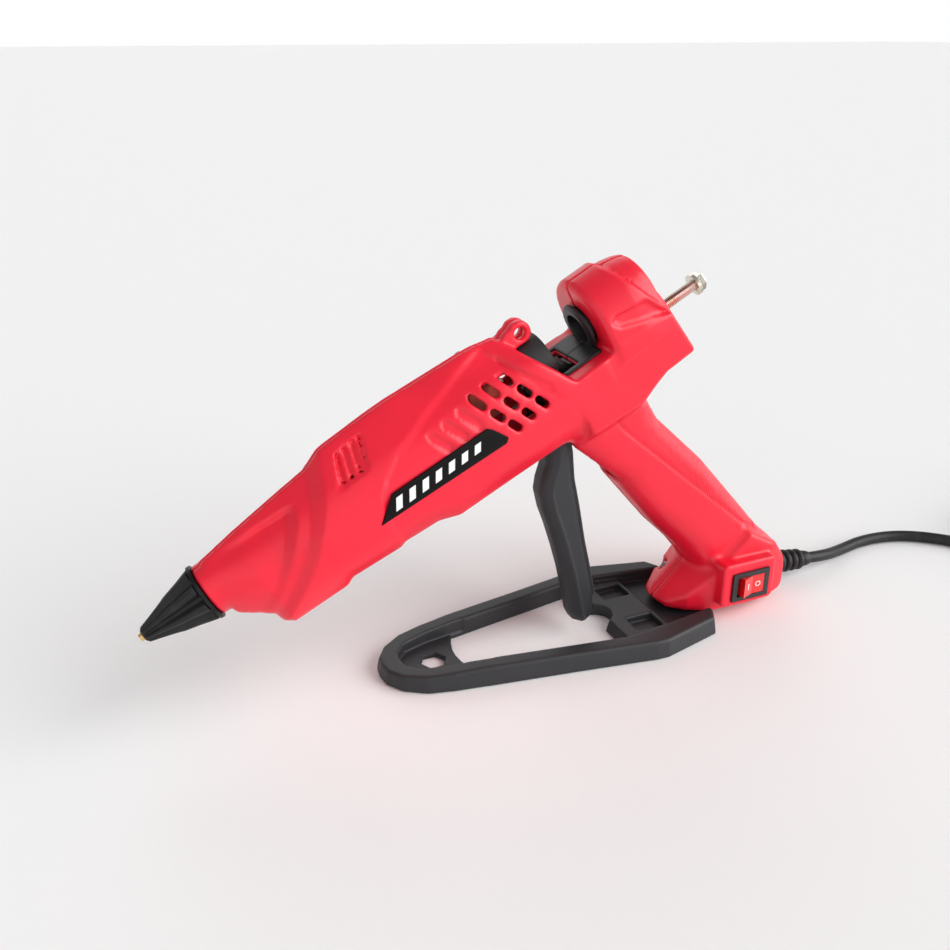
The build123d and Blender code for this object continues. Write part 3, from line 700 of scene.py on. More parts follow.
def along_relief(X, Y, Z):
    """Distance along the strain relief and distance from its axis."""
    ux, uz = relief_axis()
    px, pz = X - RELIEF_START[0], Z - RELIEF_START[2]
    return px * ux + pz * uz, np.sqrt(Y * Y + (pz * ux - px * uz) ** 2)


def shell_outside(S, Y, H, X, Z, left):
    body = side_details(front_body(S, Y, H), S, Y, H)
    beyond = (S - 175.2) * 0.845 + (H - 30) * 0.534
    body = cut(body, np.maximum(-beyond, SLOT_FLOOR - H), 1.4)
    body = smax(body, S - 214.0, 2.0)
    rear = rear_body(S, Y, H)
    drum = collar(S, Y, H)
    rear = smin(rear, drum, 2.4) + 1.8 * ramp(-outline(S, H, COLLAR_WEDGE), 1.6)
    gun = smin(body, rear, 2.0)
    mouth = smax(slab(S, 196, 218.8), SLOT_FLOOR - H, 4.0)
    gun = cut(gun, np.maximum(mouth, -beyond), 1.2)
    ring = smax(np.sqrt(Y * Y + H * H) - 11.2, slab(S, 31.2, 40.0), 0.8)
    gun = smin(gun, ring, 1.2)
    web = outline(S, H, [(172, 12), (187.2, 19.6), (194, 11), (190, 2)])
    lug = smax(smin(circle(S, H, LUG, 5.2), web, 1.5), Y - 4.2, 1.4)
    gun = smin(gun, cut(lug, circle(S, H, LUG, 2.6), 0.9), 1.0)

    handle = smax(outline(X, Z, HANDLE_SIDE) - 1.0, Y - 15.2, 13.0)
    groove = track(X, Z, BACKSTRAP)
    handle = handle + 0.7 * np.clip(1 - groove / 1.1, 0, 1)
    gun = smin(gun, handle, 8.0)
    plan = FOOT_PLAN[::-1] + [(140.0, -9.0), (90.0, -9.0)]
    foot = smax(outline(X, Z, FOOT_SIDE), outline(X, Y, plan), 3.5)
    toe_roof = (Z + 0.62 * Y - (X - 79.0) * 0.976 - 11.0) / 1.53
    foot = smax(foot, toe_roof, 1.2)
    if left:
        foot = smin(foot, switch_frame(X, Y, Z), 1.6)
    d, r = along_relief(X, Y, Z)
    gland = smax(r - 8.0, slab(d, -12.0, 0.6), 1.6)
    foot = smin(foot, gland, 2.0)
    return smin(gun, foot, 3.0)


def shell_inside(shell, outer, S, Y, H, X, Z, left):
    """Ribs, rails and bosses moulded inside, then every opening through them."""
    radial = np.sqrt(Y * Y + H * H)
    inner = outer + 0.8
    for at in RING_AT:
        rib = np.maximum(slab(S, at - 3, at + 3), slab(H, -40, 30))
        shell = np.minimum(shell, both(rib, RING_R + 0.1 - radial, inner))
    for low, high in ((-14.3, -12.3), (-9.2, SLOT_FLOOR)):
        rail = both(slab(S, 172, 216), slab(Y, 13.6, 26), slab(H, low, high))
        shell = np.minimum(shell, both(rail, inner))
    shell = np.minimum(shell, both(circle(S, H, PIVOT, 4.0), slab(Y, 8.4, 26), inner))
    boss_r = 3.4 if left else 4.7
    for x, z in SCREWS:
        shell = np.minimum(shell, np.maximum(circle(X, Z, (x, z), boss_r) + 0 * Y, inner))
    cuts = [
        np.maximum(radial - 9.0, slab(S, 28, 44)),
        np.maximum(radial - 11.4, slab(S, 160, 206)),
        both(slab(S, 182, 206), Y - 10.2, slab(H, -13, 0)),
        both(slab(S, 145, 163), Y - 7.5, slab(H, -27, -17.1)),
        np.maximum(radial - BUSH_R - 0.3, slab(S, 216, 262)),
        np.maximum(np.sqrt(Y * Y + (H - ADJUST_H) ** 2) - 3.0, slab(S, 212, 262)),
        np.maximum(circle(S, H, PIVOT, 2.3), Y - 12.6),
        np.maximum(outline(X, Z, TRIGGER_WAY), Y - 9.2),
    ]
    d, r = along_relief(X, Y, Z)
    cuts += [both(r - 4.8, slab(d, -8, 9)), both(r - 6.9, slab(d, -3.2, -0.8))]
    for row, column in product(range(3), repeat=2):
        at = (174.4 + 4.0 * row - 7.4 * column, 9.2 - 7.9 * row - 0.4 * column)
        cuts.append(np.maximum(capsule(S, H, at, -64, 7.2, 3.2), 13.0 - Y))
    if left:
        long, tall = 9.8, 6.8         # half the size of the hole the switch snaps into
        cuts.append(both(slab(X, SWITCH[0] - long, SWITCH[0] + long),
                         slab(Z, SWITCH[1] - tall, SWITCH[1] + tall), 15.6 - Y))
    else:
        for x, z in SCREWS:
            hole = circle(X, Z, (x, z), 3.3)
            cuts += [both(hole, 8.0 - Y), both(hole + 1.4, Y - 12.0)]
    for way in cuts:
        shell = cut(shell, way, 0.7)
    return shell


def make_shells():
    cell = cell_size("shell_cell")
    axes = grid((30, 0, -190), (262, 26, 26), cell)
    S, Y, H = spread(axes)
    X, Z = bench_of(S, H)
    for name, side in (("housing_left", -1), ("housing_right", 1)):
        left = side < 0
        outer = shell_outside(S, np.abs(Y), H, X, Z, left)
        shell = cut(outer, outer + WALL, 0.6)
        shell = shell_inside(shell, outer, S, Y, H, X, Z, left)
        shell = smax(shell, PART_GAP - Y, 0.7).astype(np.float32)
        verts, faces = skin(shell, axes)
        rows = gun_rows(verts, side)
        faces = faces[:, ::-1] if left else faces
        piece(name.replace("housing", "shell"), rows, faces, "shell", "housing", (name,))


# ---- stand ----
def stand_field(X, Y, Z):
    """V-shaped stand: raised rim legs that turn in beside the base, nose plate, crossbar and deck."""
    y = np.abs(Y)
    edge = [(101.5, 24.0), (97.0, 31.8), (66.0, 39.2), (60.0, 38.9), (20.0, 32.1), (-16.0, 26.4),
            (-34.0, 23.2), (-46.0, 19.6), (-55.0, 13.4), (-59.8, 6.0), (-60.6, 0.0), (-60.6, -2.0),
            (101.5, -2.0)]
    plan = outline(X, y, edge)
    top = np.interp(X, (-60, -20), (7.4, 9.4)).astype(np.float32)
    side = plan - 1.2 * ramp(-30 - X, 30) + 0.16 * np.clip(Z, 0, 10)
    body = smax(side, np.maximum(0.05 - Z, Z - top), 1.6)
    hole = outline(X, y, [(49, 26.6), (-20.5, 15.4), (-22.5, 11.0), (-24.2, 5.0), (-24.6, 0.0),
                          (-24.6, -2), (49, -2)])
    body = cut(body, hole - 0.06 * Z, 1.6)
    deck = outline(X, y, [(48, 27.0), (62, 26.8), (106, 20.4), (106, -3), (48, -3)])
    body = cut(body, np.maximum(deck, 6.0 - Z), 1.2)
    nose = outline(X, y, [(-14, 17.4), (-34, 14.4), (-46, 10.8), (-51.0, 5.0), (-51.8, 0),
                          (-51.8, -3), (-14, -3)])
    body = cut(body, np.maximum(nose, 2.8 - Z), 1.0)
    bar_front = outline(X, Z, [(46, -2), (49, -2), (52.6, 6.6), (46, 9)])
    body = cut(body, bar_front + np.maximum(y - 26.6, 0), 0.9)
    body = cut(body, circle(X, y, (49.5, 0), 7.4), 1.0)
    seat = outline(X, y, [(76.0, 24.6), (106, 20.4), (106, -3), (76.0, -3)])
    body = cut(body, np.maximum(seat, 3.2 - Z), 0.8)
    pocket = np.maximum(slab(X, 60, 74.0), slab(y, 9.5, 21.0))
    body = cut(body, np.maximum(pocket, 2.4 - Z), 0.9)
    hexagon = y * 0.0
    for k in range(3):
        a = radians(30 + 60 * k)
        hexagon = np.maximum(hexagon, np.abs((X + 36.0) * cos(a) + Y * sin(a)))
    return cut(body, hexagon - 5.1, 0.6)


def make_stand():
    axes = grid((-63, -42, -0.2), (102, 42, 10), cell_size("small_cell"))
    field = stand_field(*spread(axes)).astype(np.float32)
    moulding("clip_off_stand", field, axes, bench_rows, "stand", "stand", ("stand",))


# ---- trigger ----
TRIGGER_FRONT = [
    (17.6, 104.0), (17.4, 97.0), (17.2, 91.0), (15.0, 84.0), (14.2, 78.0), (16.4, 69.0),
    (19.8, 60.0), (23.4, 49.0), (27.2, 36.0), (30.4, 22.0), (32.4, 12.0), (34.4, 8.2),
]
TRIGGER_BACK = [
    (38.4, 7.2), (42.0, 10.4), (43.8, 24.0), (40.6, 38.0), (37.2, 52.0), (33.6, 70.0),
    (30.4, 84.0), (29.0, 97.0), (27.0, 106.0),
]
ARM_LONG, ARM_LEAN = 14.5, radians(10)


def trigger_field(X, Y, Z):
    """A long finger lever: rounded front, flat sunk cheeks, and a hub and arm inside the body."""
    y = np.abs(Y)
    blade = outline(X, Z, TRIGGER_FRONT + TRIGGER_BACK)
    lip = np.interp(Z, *zip(*sorted((z, x) for x, z in TRIGGER_FRONT))).astype(np.float32)
    body = smax(blade, y - 4.6 - 3.2 * ramp(X - lip, 5.0), 3.0)
    rim = [(x + 5.0, z) for x, z in TRIGGER_FRONT] + [(x - 1.2, z) for x, z in TRIGGER_BACK]
    body = body + 0.9 * ramp(-outline(X, Z, rim), 0.7) * ramp(y - 4.0, 1.0)
    hub = bench_of(*PIVOT)
    arm = bench_of(PIVOT[0] + ARM_LONG * sin(ARM_LEAN), PIVOT[1] + ARM_LONG * cos(ARM_LEAN))
    body = smin(body, smax(circle(X, Z, hub, 6.0), y - 8.0, 1.0), 1.5)
    lever = outline(X, Z, [(hub[0] - 5.5, hub[1]), (arm[0] - 2.4, arm[1] + 0.5),
                           (arm[0] + 2.4, arm[1] - 0.5), (hub[0] + 5.5, hub[1])])
    lever = np.minimum(lever, circle(X, Z, arm, 2.6))
    body = smin(body, smax(lever, y - 4.0, 0.8), 1.0)
    body = cut(body, circle(X, Z, hub, 2.05), 0.4)
    body = cut(body, circle(X, Z, arm, 1.5), 0.4)
    spring = np.maximum(slab(X, hub[0] - 7, hub[0] + 7), slab(Z, hub[1] - 4.6, hub[1] + 8))
    return cut(body, np.maximum(spring, 5.0 - Y), 0.5)


def make_trigger():
    axes = grid((8, -8.5, 7), (46, 8.5, 126), cell_size("small_cell") * 0.9)
    field = trigger_field(*spread(axes)).astype(np.float32)
    moulding("finger_lever", field, axes, bench_rows, "stand", "trigger",
             ("trigger",))


# ---- plug ----
TAIL_END = (389.0, -9.0, 8.5)


def plug_field(X, Y, Z):
    """Two-pin plug: waisted grip with finger ridges, from cable end to pin face."""
    x, z = X - TAIL_END[0], Z - TAIL_END[2]
    along = Y - TAIL_END[1]
    half = np.interp(along, (0, 3, 9, 16, 28), (5.0, 7.4, 9.2, 11.8, 12.0)).astype(np.float32)
    deep = np.interp(along, (0, 3, 9, 28), (4.6, 6.0, 7.6, 8.3)).astype(np.float32)
    ridges = 0.5 * (0.5 + 0.5 * np.cos(along * 2 * pi / 3.2)) * ramp(along - 5, 2) * ramp(20 - along, 2)
    body = smax(np.abs(x) - half + ridges, np.abs(z) - deep, 5.0)
    body = smax(body, slab(along, 0.2, 28.0), 1.2)
    return cut(body, np.sqrt(x * x + z * z) - 3.05 + np.maximum(along - 3, 0), 0.3)


def make_plug():
    low = (TAIL_END[0] - 13, TAIL_END[1], 0)
    axes = grid(low, (TAIL_END[0] + 13, TAIL_END[1] + 29, 18), cell_size("small_cell"))
    field = plug_field(*spread(axes)).astype(np.float32)
    made = moulding("mains_plug_grip", field, axes, bench_rows, "black", "housing",
                    ("plug_body",))
    dress("nickel", "plug_blades")
    return made


# ---- cord ----
CORD_ROUTE = [
    (0.1780, 0.0000, 0.0080), (0.1900, 0.0000, 0.006672), (0.2060, 0.0060, 0.0032),
    (0.2280, 0.0105, 0.0031), (0.2510, 0.0070, 0.0031), (0.2710, -0.0080, 0.0031),
    (0.2850, -0.0300, 0.0031), (0.3050, -0.0660, 0.0031),
]
TAIL_ROUTE = [(0.3836, -0.0370, 0.0092), (0.3852, -0.0220, 0.0089), (0.3890, -0.0090, 0.0085)]
COIL_AT = (0.338, -0.036)
COIL_TURN_POINTS = 14
LOWER_Z, UPPER_Z = 0.0031, 0.0092


def coil_points():
    """The wound length: a flat spiral in, a short climb, and a second layer back out."""
    points = []
    start = radians(-135)
    lower_turns, upper_turns = 3.5, 3.375
    wide, tight = 0.0447, 0.0233
    count = int(lower_turns * COIL_TURN_POINTS)
    for k in range(1, count + 1):
        a = start + 2 * pi * lower_turns * k / count
        r = wide + (tight - wide) * k / count
        points.append((COIL_AT[0] + r * cos(a), COIL_AT[1] + r * sin(a), LOWER_Z))
    start += 2 * pi * lower_turns
    climb = 4
    for k in range(1, climb + 1):
        a = start + pi / 2 * k / climb
        points.append((COIL_AT[0] + tight * cos(a), COIL_AT[1] + tight * sin(a),
                       LOWER_Z + (UPPER_Z - LOWER_Z) * k / climb))
    start += pi / 2
    count = int(upper_turns * COIL_TURN_POINTS)
    for k in range(1, count):
        a = start + 2 * pi * upper_turns * k / count
        r = tight + (wide + 0.0009 - tight) * k / count
        points.append((COIL_AT[0] + r * cos(a), COIL_AT[1] + r * sin(a), UPPER_Z))
    return points


def make_cord():
    route = CORD_ROUTE + coil_points() + TAIL_ROUTE
    curve = bpy.data.curves.new("mains_cord", "CURVE")
    curve.dimensions = "3D"
    spline = curve.splines.new("NURBS")
    spline.points.add(len(route) - 1)
    for point, (x, y, z) in zip(spline.points, route):
        point.co = (x + TO_CENTRE * MM, y, z, 1.0)
    spline.order_u = 3
    spline.use_endpoint_u = True
    spline.resolution_u = 6
    curve.bevel_depth = CORD_R * MM
    curve.bevel_resolution = 5
    curve.use_fill_caps = True
    cord = bpy.data.objects.new("mains_cord", curve)
    bpy.context.scene.collection.objects.link(cord)
    curve.materials.append(finish("cord"))
    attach(cord, "housing")
    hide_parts("power_cord", "cord_coil", "cord_tail")
    return cord, cord_length(spline)


def cord_length(spline):
    """Length of the smooth line through the route."""
    probe = bpy.data.curves.new("length_probe", "CURVE")
    probe.dimensions = "3D"
    twin = probe.splines.new("NURBS")
    twin.points.add(len(spline.points) - 1)
    for a, b in zip(twin.points, spline.points):
        a.co = b.co
    twin.order_u = 3
    twin.use_endpoint_u = True
    twin.resolution_u = 12
    holder = bpy.data.objects.new("length_probe", probe)
    mesh = bpy.data.meshes.new_from_object(holder)
    points = [v.co.copy() for v in mesh.vertices]
    bpy.data.objects.remove(holder)
    bpy.data.curves.remove(probe)
    bpy.data.meshes.remove(mesh)
    return sum((b - a).length for a, b in zip(points, points[1:]))


def make_relief():
    """Tapered strain relief: a stack of round-edged rings on a thin flexing core."""
    ux, uz = relief_axis()
    start = on_bench(*RELIEF_START)
    bore = CORD_R + 0.15
    profile = [(-3.0, bore), (-3.0, 6.4), (-1.1, 6.5), (-1.0, 4.7), (0.8, 4.7)]
    for k in range(5):
        at, r = 1.2 + 4.3 * k, 6.3 - 0.2 * k
        for step in range(9):
            a = pi * step / 8
            profile.append((at + 1.6 - 1.6 * cos(a), r - 1.3 + 1.3 * sin(a)))
        profile.append((at + 3.6, r - 1.7))
    profile += [(23.0, 4.3), (26.2, 3.9), (27.2, 3.6), (27.2, bore), (-3.0, bore)]
    return turned("cord_boot", profile, start, (ux, 0, uz), "relief", "housing",
                  ("strain_relief",))


# ---- nose ----
def make_nose():
    """Finned rubber boot on the nozzle, and the dark washer behind it."""
    fins = 8
    profile = [(1.6, 1.9), (1.6, 2.6), (2.4, 3.2), (6.0, 4.2), (12.0, 6.0), (14.4, 6.8), (15.4, 7.2),
               (22.0, 8.8), (27.0, 10.2), (29.0, 10.7), (29.4, 10.2), (29.4, 6.3), (1.6, 1.9)]
    fine = [(a[0] + (b[0] - a[0]) * t / 3, a[1] + (b[1] - a[1]) * t / 3)
            for a, b in zip(profile[:-1], profile[1:]) for t in range(3)] + [profile[0]]

    def fin(d, a):
        if d < 2.2 or d > 29.2:
            return 1.0
        ridge = max(0.0, cos(a * fins)) ** 0.7
        flute = max(0.0, -cos(a * fins)) ** 0.7
        return 1.0 + 0.13 * ridge - 0.17 * flute

    turned("nozzle_boot_fins", fine, on_gun(0, 0), AXIS, "boot", "housing",
           ("nozzle_boot",), segments=160, sharp=40, wave=fin)
    dress("brass", "nozzle")
    dress("dark_steel", "nose_washer")


# ---- adjuster ----
def make_adjuster():
    """Threaded screw with a hexagon head."""
    tip, head, radius, pitch, groove = 216.0, 274.0, 2.5, 0.8, 0.36
    segments, per_turn = 24, 6
    rows = int((head - tip) / pitch * per_turn)
    verts = []
    for i in range(rows + 1):
        s = tip + (head - tip) * i / rows
        for k in range(segments):
            a = 2 * pi * k / segments
            turn = (s / pitch - k / segments) % 1.0
            rr = radius - groove * abs(2 * turn - 1)
            verts.append(on_gun(s, ADJUST_H + rr * sin(a), rr * cos(a)))
    piece("adjuster_thread", verts, tube_faces(rows, segments), "nickel", "screw",
          ("adjuster_screw",), 30)
    sides = 6
    head_rows = [(273.9, 4.0), (274.4, 4.4), (276.7, 4.4), (277.4, 3.9), (277.4, 2.6), (276.5, 2.4)]
    verts = []
    for s, rr in head_rows:
        for k in range(sides):
            a = 2 * pi * k / sides
            verts.append(on_gun(s, ADJUST_H + rr * sin(a), rr * cos(a)))
    piece("adjuster_head", verts, tube_faces(len(head_rows) - 1, sides), "nickel", "screw",
          (), 25)
    dress("nickel", "adjuster_washer")
    dress("brass", "adjuster_nut")


def make_case_screws():
    """The screws that hold the two shells together, heads on the right."""
    shank = [(-7.0, 1.0), (-6.0, 1.45), (8.0, 1.45), (8.0, 2.9), (9.7, 2.9), (10.2, 2.3),
             (10.2, 1.1), (9.2, 1.0)]
    segments = 20
    verts, faces = [], []
    for number, (x, z) in enumerate(SCREWS):
        first = len(verts)
        roof = 2.2 if number == ROOF_SCREW else 0.0
        for y, r in shank:
            for k in range(segments):
                a = 2 * pi * k / segments
                verts.append(on_bench(x + r * cos(a), y + (roof if y < 0 else 0), z + r * sin(a)))
        for i in range(len(shank) - 1):
            for k in range(segments):
                m, here, there = (k + 1) % segments, first + i * segments, first + (i + 1) * segments
                faces.append((here + k, there + k, there + m, here + m))
        last = first + (len(shank) - 1) * segments
        faces.append(tuple(range(first, first + segments)))
        faces.append(tuple(reversed(range(last, last + segments))))
    piece("case_screws", verts, faces, "steel", "housing", ("housing_screws",), 35)


def make_stick_guide():
    """The black guide the glue stick slides through, with a rolled lip in front."""
    profile = [(216.2, 6.9), (216.0, 8.4), (216.2, 10.0), (216.9, 10.8), (218.0, 10.8), (218.2, 8.0),
               (250.4, 8.0), (251.4, 7.6), (251.4, 6.6), (249.0, 6.5), (220.0, 6.5), (216.2, 6.9)]
    turned("stick_guide", profile, on_gun(0, 0), AXIS, "black", "housing",
           ("rear_bushing",))


# ---- badges, painted slot shade and switch marks ----
def plate(name, corners, depth, look_name, body, bevel=0.0, replaces=()):
    """A thin plate: corners are row-frame points, depth a vector from its face to its back."""
    count = len(corners)
    verts = list(corners) + [c + depth for c in corners]
    faces = [tuple(range(count)), tuple(reversed(range(count, 2 * count)))]
    faces += [(k, k + count, (k + 1) % count + count, (k + 1) % count) for k in range(count)]
    made = piece(name, verts, faces, look_name, body, replaces)
    bm = bmesh.new()
    bm.from_mesh(made.data)
    bmesh.ops.recalc_face_normals(bm, faces=bm.faces)
    if bevel:
        face = [e for e in bm.edges if all(v.index < count for v in e.verts)]
        bmesh.ops.bevel(bm, geom=face, offset=bevel * MM, segments=2, profile=0.6, affect="EDGES")
    bm.to_mesh(made.data)
    bm.free()
    made.data.set_sharp_from_angle(angle=radians(30))
    return made


def make_badges():
    """Gloss black badges with a plain row of slanting bars."""
    bars, first, pitch, wide, low, lean = 7, 109.0, 6.3, 3.0, -6.2, 0.55
    thick, proud, ink = 0.75, 0.04, 0.1
    for side, name in ((-1, "left"), (1, "right")):
        face = side * (BADGE_SEAT + thick)
        corners = [on_gun(s, h, face) for s, h in BADGE]
        plate(f"badge_plate_{name}", corners, Vector((0, -side * thick * MM, 0)), "badge", "housing",
              0.3, (f"badge_{name}",))
        for k in range(bars):
            start, high = first + pitch * k, -1.0 - 0.25 * k
            over = lean * (high - low)
            shape = [(start, low), (start + wide, low), (start + wide + over, high), (start + over, high)]
            corners = [on_gun(s, h, face + side * proud) for s, h in shape]
            plate(f"badge_bar_{name}_{k + 1}", corners, Vector((0, -side * ink * MM, 0)), "marks", "housing")


def make_slot_shade_sheet():
    """Black sheet on the floor of the loading slot: painted shade, standing in for the shadow inside the
    slot; open in front where the feed carriage runs.
    """
    axes = grid((190, 0, -10), (220, 16, -5), cell_size("small_cell"))
    S, Y, H = spread(axes)
    # a thin black plate laid on the red slot floor as painted shade, not a real part
    shade_sheet = smax(slab(S, 198.0, 217.6), Y - 13.6, 2.0)
    shade_sheet = smax(shade_sheet, slab(H, SLOT_FLOOR - 0.3, SLOT_FLOOR + 0.8), 0.4)
    shade_sheet = cut(shade_sheet, np.maximum(slab(S, 180, 206.6), Y - 10.8), 0.4)
    verts, faces = skin(shade_sheet.astype(np.float32), axes)
    mirror = faces[:, ::-1] + len(verts)
    rows = np.concatenate([gun_rows(verts), gun_rows(verts, -1)])
    piece("slot_tray", rows, np.concatenate([faces, mirror]), "black", "housing")


def make_switch():
    """Rocker with generic on and off marks."""
    sides = 20
    rim = [(cos(2 * pi * k / sides), sin(2 * pi * k / sides)) for k in range(sides)]
    circle_mark = [(r * a, r * b) for r in (1.5, 1.0) for a, b in rim]
    bar_mark = [(-0.35, -1.7), (0.35, -1.7), (0.35, 1.7), (-0.35, 1.7)]
    turn_cos, turn_sin = cos(ROCKER_SWING), sin(ROCKER_SWING)
    for name, x, verts, faces in (
        ("on", -MARK_OUT, bar_mark, [(0, 1, 2, 3)]),
        ("off", MARK_OUT, circle_mark, ring_faces(1, sides)),
    ):
        face = ROCKER_PEAK + ROCKER_DROP * (1 - abs(x) / ROCKER_HALF) - MARK_LIFT
        slope = -ROCKER_DROP / ROCKER_HALF * (1 if x > 0 else -1)
        rows = []
        for u, v in verts:
            local_x, local_y = x + u, face + slope * u
            rows.append(on_bench(SWITCH[0] + local_x * turn_cos - local_y * turn_sin,
                                 SWITCH_FACE + ROCKER_AXLE + local_x * turn_sin + local_y * turn_cos,
                                 SWITCH[1] + v))
        piece(f"switch_mark_{name}", rows, faces, "marks", "rocker")
    dress("black", "switch_body")
    dress("rocker", "switch_rocker")
    dress("brass", "switch_terminals")


def make_inner():
    """Everything inside the shells keeps its CAD shape and gets its finish."""
    dress("steel", "clamp_jaw", "feed_links")
    dress("cast", "melt_barrel")
    dress("nickel", "heater_cartridge", "thermostat", "thermal_fuse", "sleeve_clamp", "jaw_pin",
          "jaw_link_pin", "trigger_link_pin", "trigger_pin", "return_spring", "clamp_screws")
    dress("ceramic", "barrel_rings", "terminal_block")
    dress("silicone", "inlet_sleeve")
    dress("lead", "heater_leads", "switch_leads")
    dress("black", "feed_carriage", "cord_clamp")
    dress("cord", "cord_entry")


# ---- stage ----
VIEW_AIM = Vector((-0.0095, 0.0029, 0.0897))
VIEW_AZIMUTH, VIEW_ELEVATION = radians(-24.0), radians(24.0)
VIEW_DISTANCE = 0.430
LENS, SENSOR = 37.89, 36.0


def make_stage():
    camera_data = bpy.data.cameras.new("camera")
    camera_data.lens = LENS
    camera_data.sensor_width = SENSOR
    camera_data.clip_start = 0.01
    camera = bpy.data.objects.new("camera", camera_data)
    bpy.context.scene.collection.objects.link(camera)
    level = cos(VIEW_ELEVATION)
    gaze = Vector((-sin(VIEW_AZIMUTH) * level, cos(VIEW_AZIMUTH) * level, -sin(VIEW_ELEVATION)))
    camera.location = VIEW_AIM - gaze * VIEW_DISTANCE
    camera.rotation_euler = gaze.to_track_quat("-Z", "Y").to_euler()
    bpy.context.scene.camera = camera

    mesh = bpy.data.meshes.new("floor")
    reach = 20.0
    corners = [(-reach, -reach, 0), (reach, -reach, 0), (reach, reach, 0), (-reach, reach, 0)]
    mesh.from_pydata(corners, [], [(0, 1, 2, 3)])
    floor = bpy.data.objects.new("floor", mesh)
    bpy.context.scene.collection.objects.link(floor)
    paper = Finish("pale_floor", (0.92, 0.92, 0.92), 0.9)
    paper.send("Roughness", 0.85 + paper.noise(40.0) * 0.1)
    mesh.materials.append(paper.material)

    world = bpy.data.worlds.new("pale_room")
    bpy.context.scene.world = world
    world.use_nodes = True
    nodes, links = world.node_tree.nodes, world.node_tree.links
    split = nodes.new("ShaderNodeSeparateXYZ")
    links.new(nodes.new("ShaderNodeTexCoord").outputs["Generated"], split.inputs[0])
    fade = nodes.new("ShaderNodeMapRange")
    fade.interpolation_type = "SMOOTHSTEP"
    nodes["Background"].inputs["Color"].default_value = (1, 1, 1, 1)
    links.new(split.outputs["Z"], fade.inputs["Value"])
    sky = look().sky
    for key, value in (("From Min", 0.04), ("From Max", 0.42), ("To Min", sky), ("To Max", 0.36 * sky)):
        fade.inputs[key].default_value = value
    links.new(fade.outputs["Result"], nodes["Background"].inputs["Strength"])
    for name, way, strength, spread_deg in (
        ("key", (0.72, -0.54, 0.44), look().key_power, 60),
        ("fill", (-0.5, -0.7, 0.5), look().key_power * 0.12, 50),
        ("rim", (0.2, 0.8, 0.56), look().key_power * 0.15, 40),
    ):
        light = bpy.data.lights.new(name, "SUN")
        light.angle = radians(spread_deg)
        light.energy = strength
        lamp = bpy.data.objects.new(name, light)
        lamp.location = way
        lamp.rotation_euler = (-Vector(way)).to_track_quat("-Z", "Y").to_euler()
        bpy.context.scene.collection.objects.link(lamp)
    bpy.context.scene.view_settings.view_transform = "Standard"


# ---- operators ----
class MakesPieces:
    """What the operators share: each runs its makers in turn."""

    def execute(self, context):
        for make in self.makers:
            make()
        return {"FINISHED"}


class GLUEGUN_OT_stage(MakesPieces, bpy.types.Operator):
    """Add the floor, the lights and the camera"""
    bl_idname = "glue_gun.stage"
    bl_label = "Stage"
    makers = (make_stage,)


class GLUEGUN_OT_cord(bpy.types.Operator):
    """Add the mains cord, its strain relief and its plug"""
    bl_idname = "glue_gun.cord"
    bl_label = "Cord"

    def execute(self, context):
        cord, length = make_cord()
        plug = make_plug()
        relief = make_relief()
        tuple(on_bench(*RELIEF_END))
        return {"FINISHED"}


class GLUEGUN_OT_shells(MakesPieces, bpy.types.Operator):
    """Add the two moulded shells"""
    bl_idname = "glue_gun.shells"
    bl_label = "Shells"
    # the second maker lays a black sheet of painted shade on the floor of the loading slot
    makers = (make_shells, make_slot_shade_sheet)


class GLUEGUN_OT_stand(MakesPieces, bpy.types.Operator):
    """Add the clip-off stand"""
    bl_idname = "glue_gun.stand"
    bl_label = "Stand"
    makers = (make_stand,)


class GLUEGUN_OT_trigger(MakesPieces, bpy.types.Operator):
    """Add the trigger"""
    bl_idname = "glue_gun.trigger"
    bl_label = "Trigger"
    makers = (make_trigger,)


class GLUEGUN_OT_nose(MakesPieces, bpy.types.Operator):
    """Add the finned nozzle boot and finish the nozzle"""
    bl_idname = "glue_gun.nose"
    bl_label = "Nose"
    makers = (make_nose,)


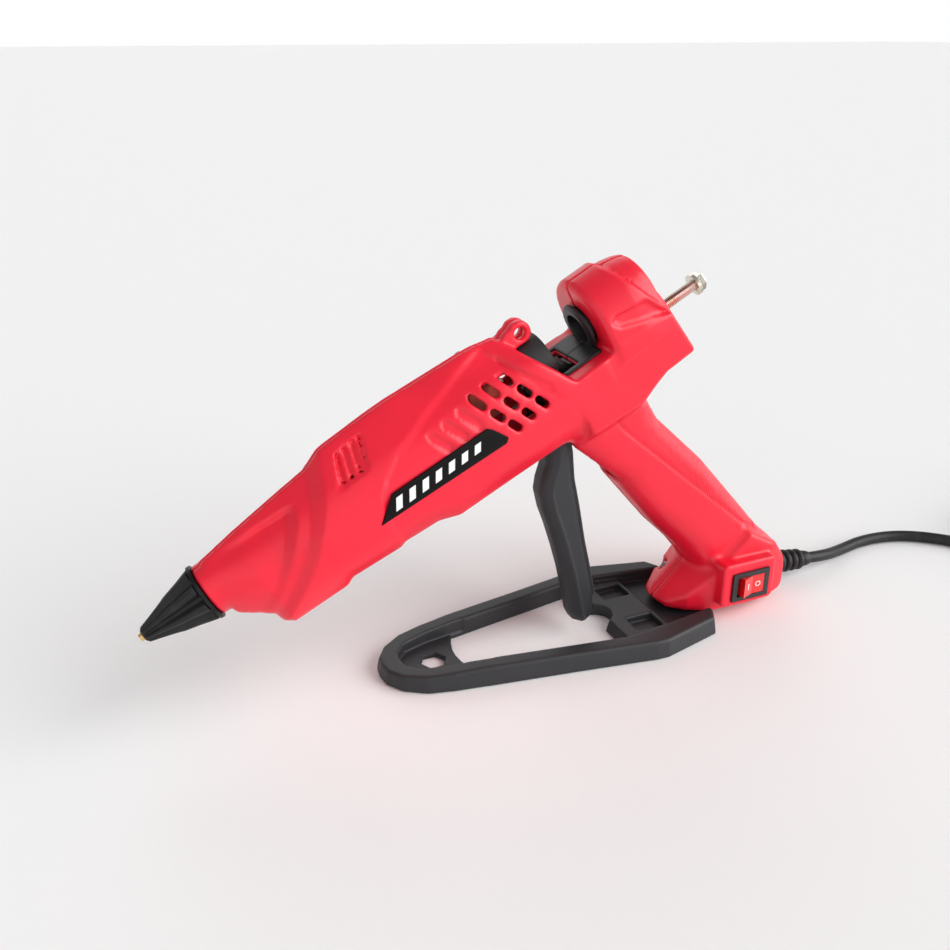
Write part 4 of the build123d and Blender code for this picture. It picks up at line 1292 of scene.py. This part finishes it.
class GLUEGUN_OT_adjuster(MakesPieces, bpy.types.Operator):
    """Add the adjuster screw and finish the rear collar's parts"""
    bl_idname = "glue_gun.adjuster"
    bl_label = "Adjuster"
    makers = (make_adjuster, make_stick_guide)


class GLUEGUN_OT_badges(MakesPieces, bpy.types.Operator):
    """Add the side badges"""
    bl_idname = "glue_gun.badges"
    bl_label = "Badges"
    makers = (make_badges,)


class GLUEGUN_OT_switch(MakesPieces, bpy.types.Operator):
    """Finish the rocker switch and add its marks"""
    bl_idname = "glue_gun.switch"
    bl_label = "Switch"
    makers = (make_switch,)


class GLUEGUN_OT_inner(MakesPieces, bpy.types.Operator):
    """Finish the heater, feed and wiring inside the shells"""
    bl_idname = "glue_gun.inner"
    bl_label = "Inner parts"
    makers = (make_inner, make_case_screws)


OPERATORS = (
    GLUEGUN_OT_stage, GLUEGUN_OT_cord, GLUEGUN_OT_shells, GLUEGUN_OT_stand, GLUEGUN_OT_trigger,
    GLUEGUN_OT_nose, GLUEGUN_OT_adjuster, GLUEGUN_OT_badges, GLUEGUN_OT_switch, GLUEGUN_OT_inner,
)


class GLUEGUN_PT_panel(bpy.types.Panel):
    """The glue gun's sizes, colours and pieces"""
    bl_idname = "GLUEGUN_PT_panel"
    bl_label = "Glue gun"
    bl_space_type = "VIEW_3D"
    bl_region_type = "UI"
    bl_category = "Glue gun"

    def draw(self, context):
        settings = context.scene.glue_gun
        for name in ("shell_colour", "dark_colour", "shell_cell", "small_cell", "key_power", "sky"):
            self.layout.prop(settings, name)
        for operator in OPERATORS:
            self.layout.operator(operator.bl_idname)


CLASSES = (GlueGunLook, *OPERATORS, GLUEGUN_PT_panel)


def register():
    for cls in CLASSES:
        bpy.utils.register_class(cls)
    bpy.types.Scene.glue_gun = bpy.props.PointerProperty(type=GlueGunLook)


def unregister():
    del bpy.types.Scene.glue_gun
    for cls in reversed(CLASSES):
        bpy.utils.unregister_class(cls)


def main():
    register()
    for operator in OPERATORS:
        getattr(bpy.ops.glue_gun, operator.bl_idname.split(".")[1])()


if __name__ == "__main__":
    main()
